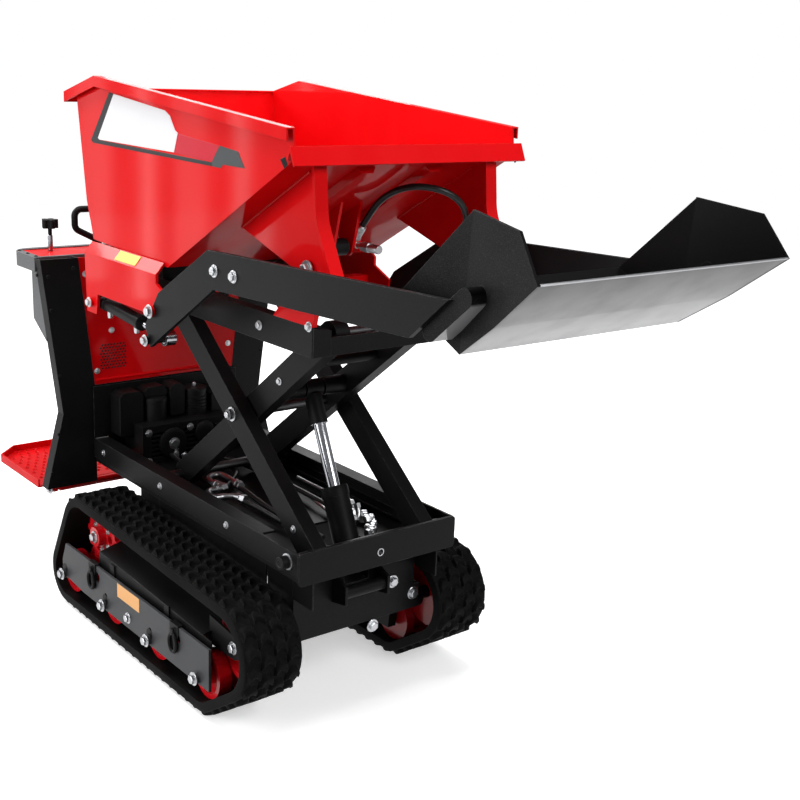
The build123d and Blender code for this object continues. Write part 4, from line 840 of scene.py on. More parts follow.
@dataclass
class Chassis:
    """Bolts and end caps of the frame, the engine's fittings and sheets, and the pipes and hoses on the deck.

    Attributes:
        rail_y: outer face of a rail.
        front_x: front face of the front plate.
    """

    shop: PaintShop
    rail_y: float = 248
    front_x: float = 278

    def build(self) -> None:
        """Makes every fitting."""
        self.shaft_ends()
        self.front_fittings()
        self.engine_fittings()
        self.bulkhead()
        self.pipes()

    def shaft_ends(self) -> None:
        """Washer, hollow end and dark bore of the front shaft at each rail."""
        rings = Piece("front_shaft_washers", "chassis", Paint.ZINC)
        tubes = Piece("front_shaft_ends", "chassis", Paint.BLACK)
        for side, _ in SIDES:
            foot = at(230, side * (self.rail_y + 0.2), 460)
            rings.turned(((0.021, 0), (0.021, 0.004), (0.0145, 0.0045)), foot, side * Y_AXIS, 28)
            tubes.turned(((0.0165, 0.004), (0.0165, 0.025), (0.0155, 0.026), (0.0095, 0.026), (0.009, 0.0245)),
                         foot, side * Y_AXIS, 28)
        rings.make(self.shop)
        tubes.make(self.shop)

    def front_fittings(self) -> None:
        """Tow eye's bush, the bolts and the cross tube under the front plate."""
        bush = Piece("tow_hole_bush", "chassis", Paint.ZINC)
        bush.hoop(((0.0102, 0), (0.0102, 0.0098), (0.0078, 0.0098), (0.0078, 0)),
                  at(self.front_x - 8, 0, 445.7), X_AXIS, 28)
        bush.make(self.shop)
        bolts = Piece("front_beam_bolts", "chassis", Paint.ZINC)
        for y, z in ((-55, 304), (123, 300), (195, 249), (60, 188)):
            bolts.bolt(at(180, y, z), X_AXIS, 0.0125)
        for side, _ in SIDES:
            for x in (-780, -420, -60):
                bolts.bolt(at(x, side * (self.rail_y - 0.3), 460), side * Y_AXIS, 0.007)
        bolts.make(self.shop)
        tube = Piece("tow_tube", "chassis", Paint.BLACK)
        tube.tube(np.array((at(214, -68, 324), at(214, 0, 324), at(214, 60, 324))), 0.017, 22)
        for y in (-76, 60):
            tube.plate([at(x, y, z) for x, z in ((181, 290), (238, 300), (238, 350), (181, 372))],
                       (0, 0.008, 0))
        tube.make(self.shop, 0.001)

    def engine_fittings(self) -> None:
        """Fins, pulley, filter lids, muffler guard and fuel cap on the engine."""
        dark = Piece("engine_covers", "chassis", Paint.ENGINE)
        bright = Piece("engine_bright_parts", "chassis", Paint.ZINC)
        foot = -711.0
        dark.turned(((0.047, 0), (0.047, 0.008), (0.04, 0.011), (0.03, 0.0115)), at(foot, -50, 480), X_AXIS, 36)
        dark.turned(((0.034, 0), (0.034, 0.009), (0.028, 0.012), (0.012, 0.013)), at(foot, 60, 500), X_AXIS, 30)
        for k in range(7):
            z = 448 + 11 * k
            dark.plate([at(foot - 1, y, z) for y in (98, 146)] + [at(foot - 1, y, z + 5) for y in (146, 98)],
                       (0.0055, 0, 0))
        for y, height in ((70, 74), (-70, 60)):
            dark.turned(((0.0395, 0), (0.0395, 0.012), (0.036, 0.017), (0.014, 0.019)),
                        at(-790, y, 540 + height - 5), Z_AXIS, 36)
            bright.turned(((0.006, 0), (0.006, 0.01), (0.003, 0.012)), at(-790, y, 540 + height + 13),
                          Z_AXIS, 12)
        bright.turned(((0.018, 0), (0.018, 0.004), (0.011, 0.005), (0.011, 0.008)),
                      at(foot + 10, -50, 480), X_AXIS, 24)
        for y, z in ((-130, 430), (-130, 520), (-8, 430), (12, 520), (130, 430)):
            bright.bolt(at(foot, y, z), X_AXIS, 0.008)
        dark.make(self.shop, 0.0006)
        bright.make(self.shop)

    def bulkhead(self) -> None:
        """Black sheets behind the engine and under the rails, and plain housings round the engine."""
        sheet = Piece("rear_bulkhead", "chassis", Paint.BLACK)
        outline = ((-203, 431), (203, 431), (203, 492), (250, 492), (250, 655), (-250, 655),
                   (-250, 492), (-203, 492))
        sheet.plate([at(-838, y, z) for y, z in outline], (0.0035, 0, 0))
        for side, _ in SIDES:
            for x_low, x_high, z_low in ((-518, 58, 250), (182, 268, 330)):
                sheet.plate([at(x, side * 200, z) for x, z in ((x_low, z_low), (x_high, z_low), (x_high, 413),
                                                               (x_low, 413))], (0, -side * 0.004, 0))
        sheet.make(self.shop)
        housings = Piece("engine_housings", "chassis", Paint.ENGINE)
        boxes = (((-196, -116), (500, 640), -770), ((118, 198), (496, 612), -764),
                 ((-26, 26), (545, 648), -768), ((-112, -30), (612, 646), -776),
                 ((152, 200), (432, 492), -722))
        corner, back_x = 7, -833
        for (y_low, y_high), (z_low, z_high), x_high in boxes:
            outline = ((y_low + corner, z_low), (y_high - corner, z_low), (y_high, z_low + corner),
                       (y_high, z_high - 2 * corner), (y_high - 2 * corner, z_high),
                       (y_low + 2 * corner, z_high), (y_low, z_high - 2 * corner), (y_low, z_low + corner))
            housings.plate([at(back_x, y, z) for y, z in outline], ((x_high - back_x) / 1000, 0, 0))
        for k in range(5):
            housings.turned(((0.0412, 0), (0.0412, 0.004)), at(-790, 70, 552 + 11 * k), Z_AXIS, 32)
        housings.make(self.shop, 0.0025)

    def pipes(self) -> None:
        """Elbows, unions, pipes and dark hoses on the deck."""
        elbows = Piece("pipe_elbows", "chassis", Paint.ZINC)
        for route in (((-372, -88), (-408, -90), (-440, -80), (-458, -56), (-452, -34),
                       (-420, -30), (-345, -35)),
                      ((-240, -88), (-266, -96), (-284, -122), (-290, -146), (-318, -150),
                       (-346, -130), (-350, -88))):
            elbows.tube(smooth_path([at(x, y, 446) for x, y in route]), 0.0088, 16)
            for end, inner in ((route[0], route[1]), (route[-1], route[-2])):
                way = unit((inner[0] - end[0], inner[1] - end[1], 0))
                elbows.turned(((0.0135, -0.012), (0.0135, 0.004), (0.0115, 0.0065)), at(*end, 446), way, 6)
                elbows.turned(((0.0128, 0.007), (0.0128, 0.02)), at(*end, 446), way, 24)
        elbows.turned(((0.009, 0), (0.009, 0.02), (0.007, 0.021), (0.007, 0.03)), at(-700, -43, 431), Z_AXIS, 6)
        for x, y, turn in ((-79, 136, 10), (-40, 132, 60), (34, 134, 150), (8, 118, 20), (70, 122, 80),
                           (112, 104, 130), (124, 84, 30), (147, 66, 100), (60, 128, 60)):
            way = np.array((math.cos(math.radians(turn)), math.sin(math.radians(turn)), 0.0))
            foot = at(x, y, 441) - 0.012 * way
            elbows.turned(((0.0115, 0), (0.0115, 0.009), (0.0095, 0.0095), (0.0095, 0.014), (0.012, 0.0145),
                           (0.012, 0.024)), foot, way, 6)
        for route in (((-79, 136), (-58, 140), (-20, 138), (34, 134), (66, 124)),
                      ((8, 118), (50, 128), (84, 128), (112, 104), (140, 90), (147, 66))):
            elbows.tube(smooth_path([at(x, y, 442) for x, y in route]), 0.0062, 12)
        elbows.make(self.shop)
        runs = Piece("deck_pipes", "chassis", Paint.ZINC)
        for ends in (((-329, 157), (-160, 156)), ((-243, 104), (-8, 60))):
            (x0, y0), (x1, y1) = ends
            runs.tube(smooth_path([at(x0, y0, 440), at(0.6 * x0 + 0.4 * x1, 0.6 * y0 + 0.4 * y1 + 3, 438),
                                   at(x1, y1, 440)]), 0.0045, 10)
        runs.make(self.shop)
        dark = Piece("deck_hoses", "chassis", Paint.HOSE)
        for route in (((-345, -35), (-290, -46), (-120, -60), (20, -62), (110, -60)),
                      ((-240, -88), (-150, -90), (-40, -84), (80, -66)),
                      ((-372, -88), (-480, -96), (-600, -70), (-704, -60)),
                      ((-350, -80), (-450, 20), (-580, 40), (-704, 60)),
                      ((-700, 20), (-560, 70), (-380, 92), (-200, 90), (60, 88))):
            dark.tube(smooth_path([at(x, y, 440 + (5 if k % 2 else 0)) for k, (x, y) in enumerate(route)]),
                      0.0078, 12)
        dark.make(self.shop)


@dataclass
class Tower:
    """Screws, the perforated patch and the tray's controls on the tower."""

    shop: PaintShop
    panel_x: float = -844
    tray_top: float = 1052

    def build(self) -> None:
        """Makes every fitting."""
        self.vents()
        self.screws()
        self.controls()

    def vents(self) -> None:
        """Round vents in staggered rows, each a shallow black dish set in the red panel: painted shade standing for
        the dark inside of an open hole.
        """
        # painted shade: black dishes in place of open vent holes
        holes = Piece("vent_hole_painted_shade", "chassis", Paint.BLACK)
        for row in range(9):
            for column in range(8 + row % 2):
                y = -213 + 10 * column - 5 * (row % 2)
                holes.turned(((0.0036, 0), (0.0036, 0.0006)),
                             at(self.panel_x - 0.2, y, 706 + 9 * row), X_AXIS, 6)
        holes.make(self.shop, smooth=False)
        fold = Piece("panel_fold", "chassis", Paint.RED)
        profile = ((self.panel_x - 0.5, 668), (self.panel_x + 2.5, 668), (self.panel_x + 4.5, 672),
                   (self.panel_x + 2.5, 676), (self.panel_x - 0.5, 676))
        fold.plate([at(x, -236, z) for x, z in profile], (0, 0.472, 0))
        fold.make(self.shop, 0.0006)

    def screws(self) -> None:
        """Zinc bolts of the red panel and dark screws down the posts' flanges and round the tray."""
        bolts = Piece("panel_bolts", "chassis", Paint.ZINC)
        for y, z in ((-232, 700), (226, 737), (-262, 1000), (262, 1000), (-182, 822)):
            bolts.bolt(at(self.panel_x, y, z), X_AXIS, 0.0065)
        bolts.make(self.shop)
        screws = Piece("tower_screws", "chassis", Paint.BLACK)
        head = ((0.0055, 0), (0.005, 0.0018), (0.0025, 0.0032))
        for side, _ in SIDES:
            for y, z in ((378, 1000), (372, 900), (352, 700), (362, 520), (388, 400), (300, 1020)):
                screws.turned(head, at(-842, side * y, z), X_AXIS, 16)
            for x in (-900, -960, -1020):
                screws.turned(head, at(x, side * 388, self.tray_top), Z_AXIS, 16)
            for z in (860, 930, 1000):
                screws.turned(head, at(-866 - 0.1 * (z - 860), side * (372 + 0.17 * (z - 860)), z),
                              side * Y_AXIS, 16)
        screws.make(self.shop)

    def controls(self) -> None:
        """Lever slot, boots, levers and caps on the tray, and the bright stem of the star knob."""
        slot = Piece("lever_slot", "chassis", Paint.BLACK)
        top = self.tray_top - 3.2
        slot.plate([at(x, y, top) for x, y in ((-1010, -130), (-930, -130), (-930, 130), (-1010, 130))],
                   (0, 0, 0.0042))
        levers, knobs = Piece("levers", "chassis", Paint.CHROME), Piece("lever_knobs", "chassis", Paint.BLACK)
        for k in range(4):
            y = -96 + 64 * k
            foot = at(-970, y, top + 3)
            knobs.turned(((0.02, 0), (0.019, 0.006), (0.014, 0.01), (0.012, 0.016), (0.006, 0.022)),
                         foot, Z_AXIS, 24)
            levers.turned(((0.0045, 0.018), (0.0045, 0.062)), foot, Z_AXIS, 14)
            knobs.turned(((0.005, 0.058), (0.011, 0.062), (0.0135, 0.072), (0.011, 0.082), (0.005, 0.086)),
                         foot, Z_AXIS, 20)
        levers.turned(((0.0078, 0), (0.0078, 0.045), (0.006, 0.047)),
                      at(-1000, -300, self.tray_top - 1), Z_AXIS, 18)
        slot.make(self.shop, 0.0008)
        levers.make(self.shop)
        knobs.make(self.shop)


@dataclass
class Footboard:
    """Grip studs and hinge bolts of the folding footboard."""

    shop: PaintShop
    floor_z: float = 330
    front_x: float = -988
    rear_x: float = -1296
    half: float = 350

    def build(self) -> None:
        """Makes the studs and the hinge bolts."""
        studs = Piece("grip_studs", "footboard", Paint.RED)
        for row, x in enumerate(np.arange(self.rear_x, self.front_x + 1, 28)):
            half = self.half - 20 * max(0, 2 - row)
            for y in np.arange(-half + 14 * (row % 2), half + 1, 28):
                studs.turned(((0.007, 0), (0.006, 0.0016), (0.0038, 0.0026), (0.0034, 0.0004)),
                             at(x, y, self.floor_z - 0.2), Z_AXIS, 10)
        studs.make(self.shop)
        plates = Piece("hinge_bolts", "chassis", Paint.ZINC)
        for side, _ in SIDES:
            plates.bolt(at(-924, side * 360, 322), side * Y_AXIS, 0.012)
            plates.bolt(at(-868, side * 351, 377), side * Y_AXIS, 0.009)
        plates.make(self.shop)


@dataclass
class ScissorLift:
    """Pins, washers and hydraulic unions of the lift."""

    shop: PaintShop
    outer_y: float = 190
    pivot: tuple[float, float] = (230, 460)
    reach: float = 452
    slope: float = 37.7

    def build(self) -> None:
        """Makes the fittings of the arms and of the cylinder."""
        run, rise = math.cos(math.radians(self.slope)), math.sin(math.radians(self.slope))
        crossing = (self.pivot[0] - self.reach * run, self.pivot[1] + self.reach * rise)
        pins = Piece("crossing_pin_caps", "scissor_a", Paint.ZINC)
        for side, _ in SIDES:
            pins.turned(((0.0195, 0), (0.0195, 0.004), (0.015, 0.0045)),
                        at(crossing[0], side * self.outer_y, crossing[1]), side * Y_AXIS, 28)
            pins.bolt(at(crossing[0], side * (self.outer_y + 13.8), crossing[1]), side * Y_AXIS, 0.0095, False)
        pins.make(self.shop)
        keepers = Piece("arm_bolts", "scissor_a", Paint.ZINC)
        for side, _ in SIDES:
            place = (self.pivot[0] - 0.18 * self.reach * run, self.pivot[1] + 0.18 * self.reach * rise)
            keepers.bolt(at(place[0], side * self.outer_y, place[1]), side * Y_AXIS, 0.007)
        keepers.make(self.shop)
        low = Piece("lower_arm_bolts", "scissor_b", Paint.ZINC)
        for side, _ in SIDES:
            for share in (0.42, 0.9):
                place = (crossing[0] + share * self.reach * run, crossing[1] + share * self.reach * rise)
                low.bolt(at(place[0], side * 144, place[1]), side * Y_AXIS, 0.007)
        low.make(self.shop)
        self.cylinder()

    def cylinder(self) -> None:
        """Open gland ring, ports and a short bent pipe on the lift cylinder's barrel."""
        base, eye = np.array((155.0, 376.0)), np.array((-42.99, 801.8))
        run = (eye - base) / np.linalg.norm(eye - base)
        axis = np.array((run[0], 0, run[1]))

        def on_axis(distance: float) -> Array:
            """The point at this distance up the cylinder."""
            return at(base[0] + distance * run[0], 0, base[1] + distance * run[1])

        gland = Piece("lift_gland", "lift_barrel", Paint.BLACK)
        gland.hoop(((0.034, 0), (0.0375, 0), (0.0375, 0.022), (0.0362, 0.026), (0.034, 0.026)),
                   on_axis(174), axis)
        gland.make(self.shop)
        ports = Piece("lift_ports", "lift_barrel", Paint.ZINC)
        foot = on_axis(150) + 0.031 * Y_AXIS
        ports.turned(((0.011, 0), (0.011, 0.012), (0.0085, 0.013), (0.0085, 0.018)), foot, Y_AXIS, 6)
        foot = on_axis(108) + 0.031 * Y_AXIS
        ports.turned(((0.012, 0), (0.012, 0.012)), foot, Y_AXIS, 6)
        path = [foot + 0.01 * Y_AXIS, foot + 0.02 * Y_AXIS, foot + 0.027 * Y_AXIS + 0.01 * axis,
                foot + 0.028 * Y_AXIS + 0.026 * axis]
        ports.tube(smooth_path(path), 0.0075, 14)
        ports.turned(((0.0105, 0), (0.0105, 0.013)), foot + 0.028 * Y_AXIS + 0.024 * axis, axis, 6)
        ports.make(self.shop)


@dataclass
class Platform:
    """Bolts, blank panels and end plates on the platform and its side plates."""

    shop: PaintShop
    plate_y: float = 352

    def build(self) -> None:
        """Makes the fittings of both sides."""
        bolts = Piece("cradle_bolts", "platform", Paint.ZINC)
        for side, hand in SIDES:
            bolts.bolt(at(-610, side * (self.plate_y + 7.8), 965), side * Y_AXIS, 0.0098)
            bolts.bolt(at(-204, side * 386.8, 1014), side * Y_AXIS, 0.0125)
            bolts.bolt(at(270, side * 229, 1049), side * Y_AXIS, 0.0085)
            bolts.bolt(at(60, side * 229, 1013), side * Y_AXIS, 0.0085)
            bolts.bolt(at(-700, side * 229, 1013), side * Y_AXIS, 0.0085)
            bolts.bolt(at(290, side * 249.8, 1185), side * Y_AXIS, 0.0155)
            panel = Piece(f"cradle_panel_{hand}", "platform", Paint.YELLOW)
            inner = at(0, side * 328, 1129) - at(0, side * self.plate_y, 1100)
            low = [at(x, side * self.plate_y, 1100) + 0.12 * inner for x in (-470, -352)]
            high = [at(x, side * self.plate_y, 1100) + 0.9 * inner for x in (-352, -470)]
            panel.plate(low + high, (0, side * 0.0008, 0.0007))
            panel.make(self.shop)
        bolts.make(self.shop)
        plates = Piece("rail_end_plates", "platform", Paint.BLACK)
        for side, _ in SIDES:
            plates.plate([at(284, side * y, z) for y, z in ((178, 978), (228, 978), (228, 1047), (178, 1040))],
                         (0.006, 0, 0))
        plates.make(self.shop, 0.001)


@dataclass
class Skip:
    """Stripe panels, painted shade of the lip's slots, and welds of the skip."""

    shop: PaintShop
    wall_y: float = 322

    def build(self) -> None:
        """Makes the side panels, the painted shade of the lip's slots and the underside's welds."""
        for side, hand in SIDES:
            self.stripes(side, hand)
        self.slots()
        self.underside()

    def stripes(self, side: int, hand: str) -> None:
        """A plain striped panel on a side wall: white field, dark wedge and red bar, without any mark."""
        fields = (("white", Paint.WHITE, ((-510, 1532), (-232, 1505), (-207, 1494), (-182, 1461), (-168, 1455),
                                          (-188, 1407), (-600, 1408), (-609, 1412)), 0.4),
                  ("edge", Paint.CARBON, ((-536, 1535), (-511, 1532), (-610, 1412), (-600, 1407), (-8, 1399),
                                          (-7, 1390), (-640, 1397), (-651, 1404)), 0.4),
                  ("bar", Paint.CRIMSON, ((-166, 1454), (28, 1440), (-6, 1400), (-187, 1407)), 0.3),
                  ("wedge", Paint.SLATE,
                   ((30, 1440), (111, 1433), (140, 1398), (45, 1398), (34, 1389), (-6, 1390), (-7, 1399)),
                   0.4))
        for name, paint, outline, thick in fields:
            panel = Piece(f"stripe_{name}_{hand}", "skip", paint)
            panel.plate([at(x, side * (self.wall_y - 0.2), z) for x, z in outline],
                        (0, side * thick / 1000 * 2, 0))
            panel.make(self.shop)

    def slots(self) -> None:
        """A black patch at each end of the front lip: painted shade standing for a slot."""
        # painted shade: flat black patches in place of open slots
        slots = Piece("lip_slot_painted_shade", "skip", Paint.BLACK)
        for side, _ in SIDES:
            y = side * (self.wall_y + 16)
            slots.plate([at(x, y, z) for x, z in ((308, 1433), (327, 1440), (337, 1424), (325, 1414))],
                        (0, side * 0.0008, 0))
        slots.make(self.shop)

    def underside(self) -> None:
        """Weld beads where the brackets and ribs meet the slope's underside."""
        foot, mouth = np.array((-225.0, 1117.0)), np.array((338.0, 1434.0))
        run = (mouth - foot) / np.linalg.norm(mouth - foot)
        down = np.array((run[1], -run[0]))
        beads = Piece("slope_welds", "skip", Paint.RED)
        for y in (-234, -244, 234, 244):
            line = [foot + run * s + down * 1.5 for s in np.linspace(262, 585, 60)]
            path = [at(x, y, z) for x, z in line]
            wobble = 0.0006 * np.sin(np.arange(60) * 1.9)[:, None] * Y_AXIS
            beads.tube(np.array(path) + wobble, 0.0035, 8)
        beads.make(self.shop)


@dataclass
class Loader:
    """Bolts of the loading arms, the shovel's cutting edge and the fittings of the rams.

    Attributes:
        arm_y: how far out the arms' front bolts sit.
        pin_y: how far out the bolts at the rams' pins sit.
        ram_y: how far out a ram's middle lies.
    """

    shop: PaintShop
    arm_y: float = 379
    pin_y: float = 386.8
    ram_y: float = 320

    def build(self) -> None:
        """Makes the fittings of both arms, the shovel and the rams."""
        bolts = Piece("loader_bolts", "loader", Paint.ZINC)
        for side, hand in SIDES:
            for x, z in ((102, 1163), (186, 1163)):
                bolts.bolt(at(x, side * self.arm_y, z), side * Y_AXIS, 0.0105)
            bolts.bolt(at(-230, side * self.pin_y, 934), side * Y_AXIS, 0.0105)
            self.ram(side, hand)
        bolts.make(self.shop)
        self.lip()

    def lip(self) -> None:
        """The worn steel cutting edge along the shovel's front."""
        edge = Piece("cutting_edge", "loader", Paint.ZINC)
        edge.tube(np.array((at(1119, -350, 1293.5), at(1119, 0, 1293.5), at(1119, 350, 1293.5))), 0.0024, 8)
        edge.make(self.shop)

    def ram(self, side: int, hand: str) -> None:
        """Gland ring, end cap and ports of one loading ram."""
        base, eye = np.array((-610.0, 965.0)), np.array((-230.0, 934.0))
        run = (eye - base) / np.linalg.norm(eye - base)
        axis, y = np.array((run[0], 0, run[1])), side * self.ram_y
        gland = Piece(f"ram_gland_{hand}", f"loader_{hand}_barrel", Paint.BLACK)
        for distance in (222, 24):
            place = base + run * distance
            gland.turned(((0.0212, 0), (0.0212, 0.017), (0.019, 0.0185)), at(place[0], y, place[1]), axis, 30)
        gland.make(self.shop)
        ports = Piece(f"ram_ports_{hand}", f"loader_{hand}_barrel", Paint.ZINC)
        for distance in (48, 205):
            place = base + run * distance
            ports.turned(((0.008, 0), (0.008, 0.014), (0.0065, 0.02)),
                         at(place[0], y, place[1] - 16), -Z_AXIS, 6)
        ports.make(self.shop)


@dataclass
class RodEnds:
    """Black painted eyes and sleeves at the ends of the chromed rods.

    Attributes:
        rods: body, cylinder's foot, rod's eye, rod radius, eye radius, half width of the eye, sleeve length
            and y of each rod, in drawing millimetres.
    """

    shop: PaintShop
    rods: tuple[tuple[str, tuple[float, float], tuple[float, float], float, float, float, float, float], ...] = (
        ("lift_rod", (155, 376), (-42.99, 801.8), 17, 23, 26, 76, 0),
        ("tip_rod", (-420, 1012.8), (60, 1190), 15, 21, 20, 34, 0),
        ("loader_right_rod", (-610, 965), (-230, 934), 10, 19, 14, 34, -320),
        ("loader_left_rod", (-610, 965), (-230, 934), 10, 19, 14, 34, 320),
    )

    def build(self) -> None:
        """Makes one piece for each rod: a band round the eye and a tapered sleeve behind it."""
        for body, base, eye, rod, round_eye, half, sleeve, y in self.rods:
            piece = Piece(f"{body}_end", body, Paint.BLACK)
            run = unit(np.subtract(eye, base))
            axis = np.array((run[0], 0.0, run[1]))
            centre = at(eye[0], y, eye[1])
            back = (sleeve + round_eye) / 1000
            wide = (rod + 6.5) / 1000
            piece.turned(((wide - 0.002, 0), (wide, 0.002), (wide, back - 0.8 * round_eye / 1000)),
                         centre - back * axis, axis, 32)
            outside, inside, wide = (round_eye + 0.4) / 1000, 0.72 * (round_eye + 0.4) / 1000, (half + 0.4) / 1000
            piece.hoop(((inside, -wide), (outside, -wide), (outside, wide), (inside, wide)), centre, Y_AXIS, 40)
            piece.make(self.shop)


@dataclass
class Hose:
    """The hydraulic hose that arches under the skip's mouth, its collars and the tee that it leaves.

    Attributes:
        route: the hose's corner points, in drawing millimetres.
        radius: its radius in metres.
        length: its length in metres; not used.
    """

    shop: PaintShop
    route: tuple[tuple[float, float, float], ...] = (
        (84, 46, 1228), (120, 45, 1270), (171, 41, 1317), (227, 45, 1347), (281, 61, 1362), (320, 95, 1359),
        (338, 138, 1341), (332, 183, 1303), (297, 216, 1258))
    radius: float = 0.008
    length: float = 0.468

    def build(self) -> None:
        """Makes the hose on one smooth curve, then its metal pieces."""
        curve = bpy.data.curves.new("hydraulic_hose", "CURVE")
        curve.dimensions, curve.resolution_u = "3D", 16
        curve.bevel_depth, curve.bevel_resolution, curve.use_fill_caps = self.radius, 5, True
        spline = curve.splines.new("NURBS")
        spline.points.add(len(self.route) - 1)
        for point, place in zip(spline.points, self.route):
            point.co = (*at(*place), 1.0)
        spline.order_u = 3
        spline.use_endpoint_u = True
        hose = bpy.data.objects.new("hydraulic_hose", curve)
        bpy.context.scene.collection.objects.link(hose)
        self.shop.coat(hose, Paint.HOSE)
        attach(hose, "skip")
        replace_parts(hose, "skip_hose")
        collars = self.collars()
        self.tee()
        tuple(at(*self.route[0]))

    def collars(self) -> bpy.types.Object:
        """Crimped collars that taper onto the hose at both ends."""
        collars = Piece("hose_collars", "skip", Paint.ZINC)
        profile = ((0.0118, -0.012), (0.0118, 0.004), (0.0112, 0.005), (0.0118, 0.006), (0.0118, 0.014),
                   (0.0112, 0.015), (0.0118, 0.016), (0.0116, 0.022), (0.0085, 0.026))
        for end, inner in ((self.route[0], self.route[1]), (self.route[-1], self.route[-2])):
            way = unit(at(*inner) - at(*end))
            collars.turned(profile, at(*end), way, 28)
            collars.turned(((0.0142, -0.022), (0.0142, -0.013), (0.013, -0.012)), at(*end), way, 6)
        return collars.make(self.shop)

    def tee(self) -> None:
        """Zinc tee and unions beside the tipping cylinder's eye."""
        tee = Piece("hose_tee", "skip", Paint.ZINC)
        start = at(52, 45, 1195)
        tee.turned(((0.009, 0), (0.009, 0.03), (0.0075, 0.031), (0.0075, 0.05)), start, X_AXIS, 20)
        tee.turned(((0.0125, 0.05), (0.0125, 0.064), (0.0135, 0.065), (0.0135, 0.082)), start, X_AXIS, 6)
        tee.turned(((0.011, 0.082), (0.011, 0.118), (0.0098, 0.12)), start, X_AXIS, 20)
        tee.make(self.shop)


# ---------------------------------------------------------------- nodes' finishes
NODE_PAINT: dict[str, Paint] = {
    "track": Paint.RUBBER, "road_rollers": Paint.WHEEL, "idler": Paint.WHEEL, "sprocket": Paint.WHEEL,
    "track_frame": Paint.BLACK, "side_plate": Paint.GUARD, "frame_rail": Paint.BLACK, "tower_post": Paint.BLACK,
    "front_plate": Paint.BLACK, "deck_plate": Paint.BLACK, "front_beam": Paint.BLACK, "rear_beam": Paint.BLACK,
    "front_shaft": Paint.SHAFT, "engine": Paint.ENGINE, "tower_panel": Paint.RED, "tower_crossbar": Paint.BLACK,
    "console": Paint.CONSOLE, "console_top": Paint.CONSOLE, "console_panel": Paint.RED, "handles": Paint.BLACK,
    "foot_bracket": Paint.RED, "footboard": Paint.RED, "outer_arm": Paint.BLACK, "outer_shafts": Paint.SHAFT,
    "inner_arm": Paint.BLACK, "inner_tubes": Paint.BLACK, "lower_roller_shaft": Paint.SHAFT,
    "platform_rail": Paint.BLACK, "top_shaft": Paint.SHAFT, "front_bar": Paint.BLACK, "rear_bar": Paint.BLACK,
    "tip_base": Paint.BLACK, "hinge_upright": Paint.RED, "skip_hose": Paint.HOSE, "cradle": Paint.RED,
    "skip_tub": Paint.RED,
    "loader_arm": Paint.BLACK, "shovel": Paint.SHOVEL, "lift_barrel": Paint.BLACK, "lift_rod": Paint.CHROME,
    "tip_barrel": Paint.BLACK, "tip_rod": Paint.CHROME, "loader_right_barrel": Paint.BLACK,
    "loader_right_rod": Paint.CHROME, "loader_left_barrel": Paint.BLACK, "loader_left_rod": Paint.CHROME,
}


def dress_nodes(nodes: dict[str, bpy.types.Object], shop: PaintShop) -> None:
    """Gives every CAD node its finish through its object's material slots.

    Args:
        nodes: the frame's nodes by name.
        shop: where the finishes come from.
    """
    for name, node in nodes.items():
        stem = name.removesuffix("_right").removesuffix("_left")
        paint = NODE_PAINT.get(name) or NODE_PAINT[stem]
        for place in node.material_slots:
            place.link = "OBJECT"
            place.material = shop.material(paint)
        LOG.info("%s is finished in %s", name, paint.value.name)


# ---------------------------------------------------------------- studio
@dataclass(frozen=True)
class Lamp:
    """One soft area light.

    Attributes:
        name: its name.
        place: where it stands.
        aim: the point it looks at.
        size: side of its square.
        watts: its power.
        height: its height where it is a strip, and size its width.
    """

    name: str
    place: tuple[float, float, float]
    aim: tuple[float, float, float]
    size: float
    watts: float
    height: float | None = None

    def hang(self) -> None:
        """Adds the light, turned to its aim."""
        data = bpy.data.lights.new(self.name, "AREA")
        data.shape, data.size, data.energy = "SQUARE" if self.height is None else "RECTANGLE", self.size, self.watts
        if self.height is not None:
            data.size_y = self.height
        lamp = bpy.data.objects.new(self.name, data)
        bpy.context.scene.collection.objects.link(lamp)
        way = unit(np.asarray(self.aim) - np.asarray(self.place))
        first, second = across(-way)
        turn = np.stack((first, second, -way), 1)
        matrix = np.eye(4)
        matrix[:3, :3], matrix[:3, 3] = turn, self.place
        lamp.matrix_world = matrix.T.tolist()


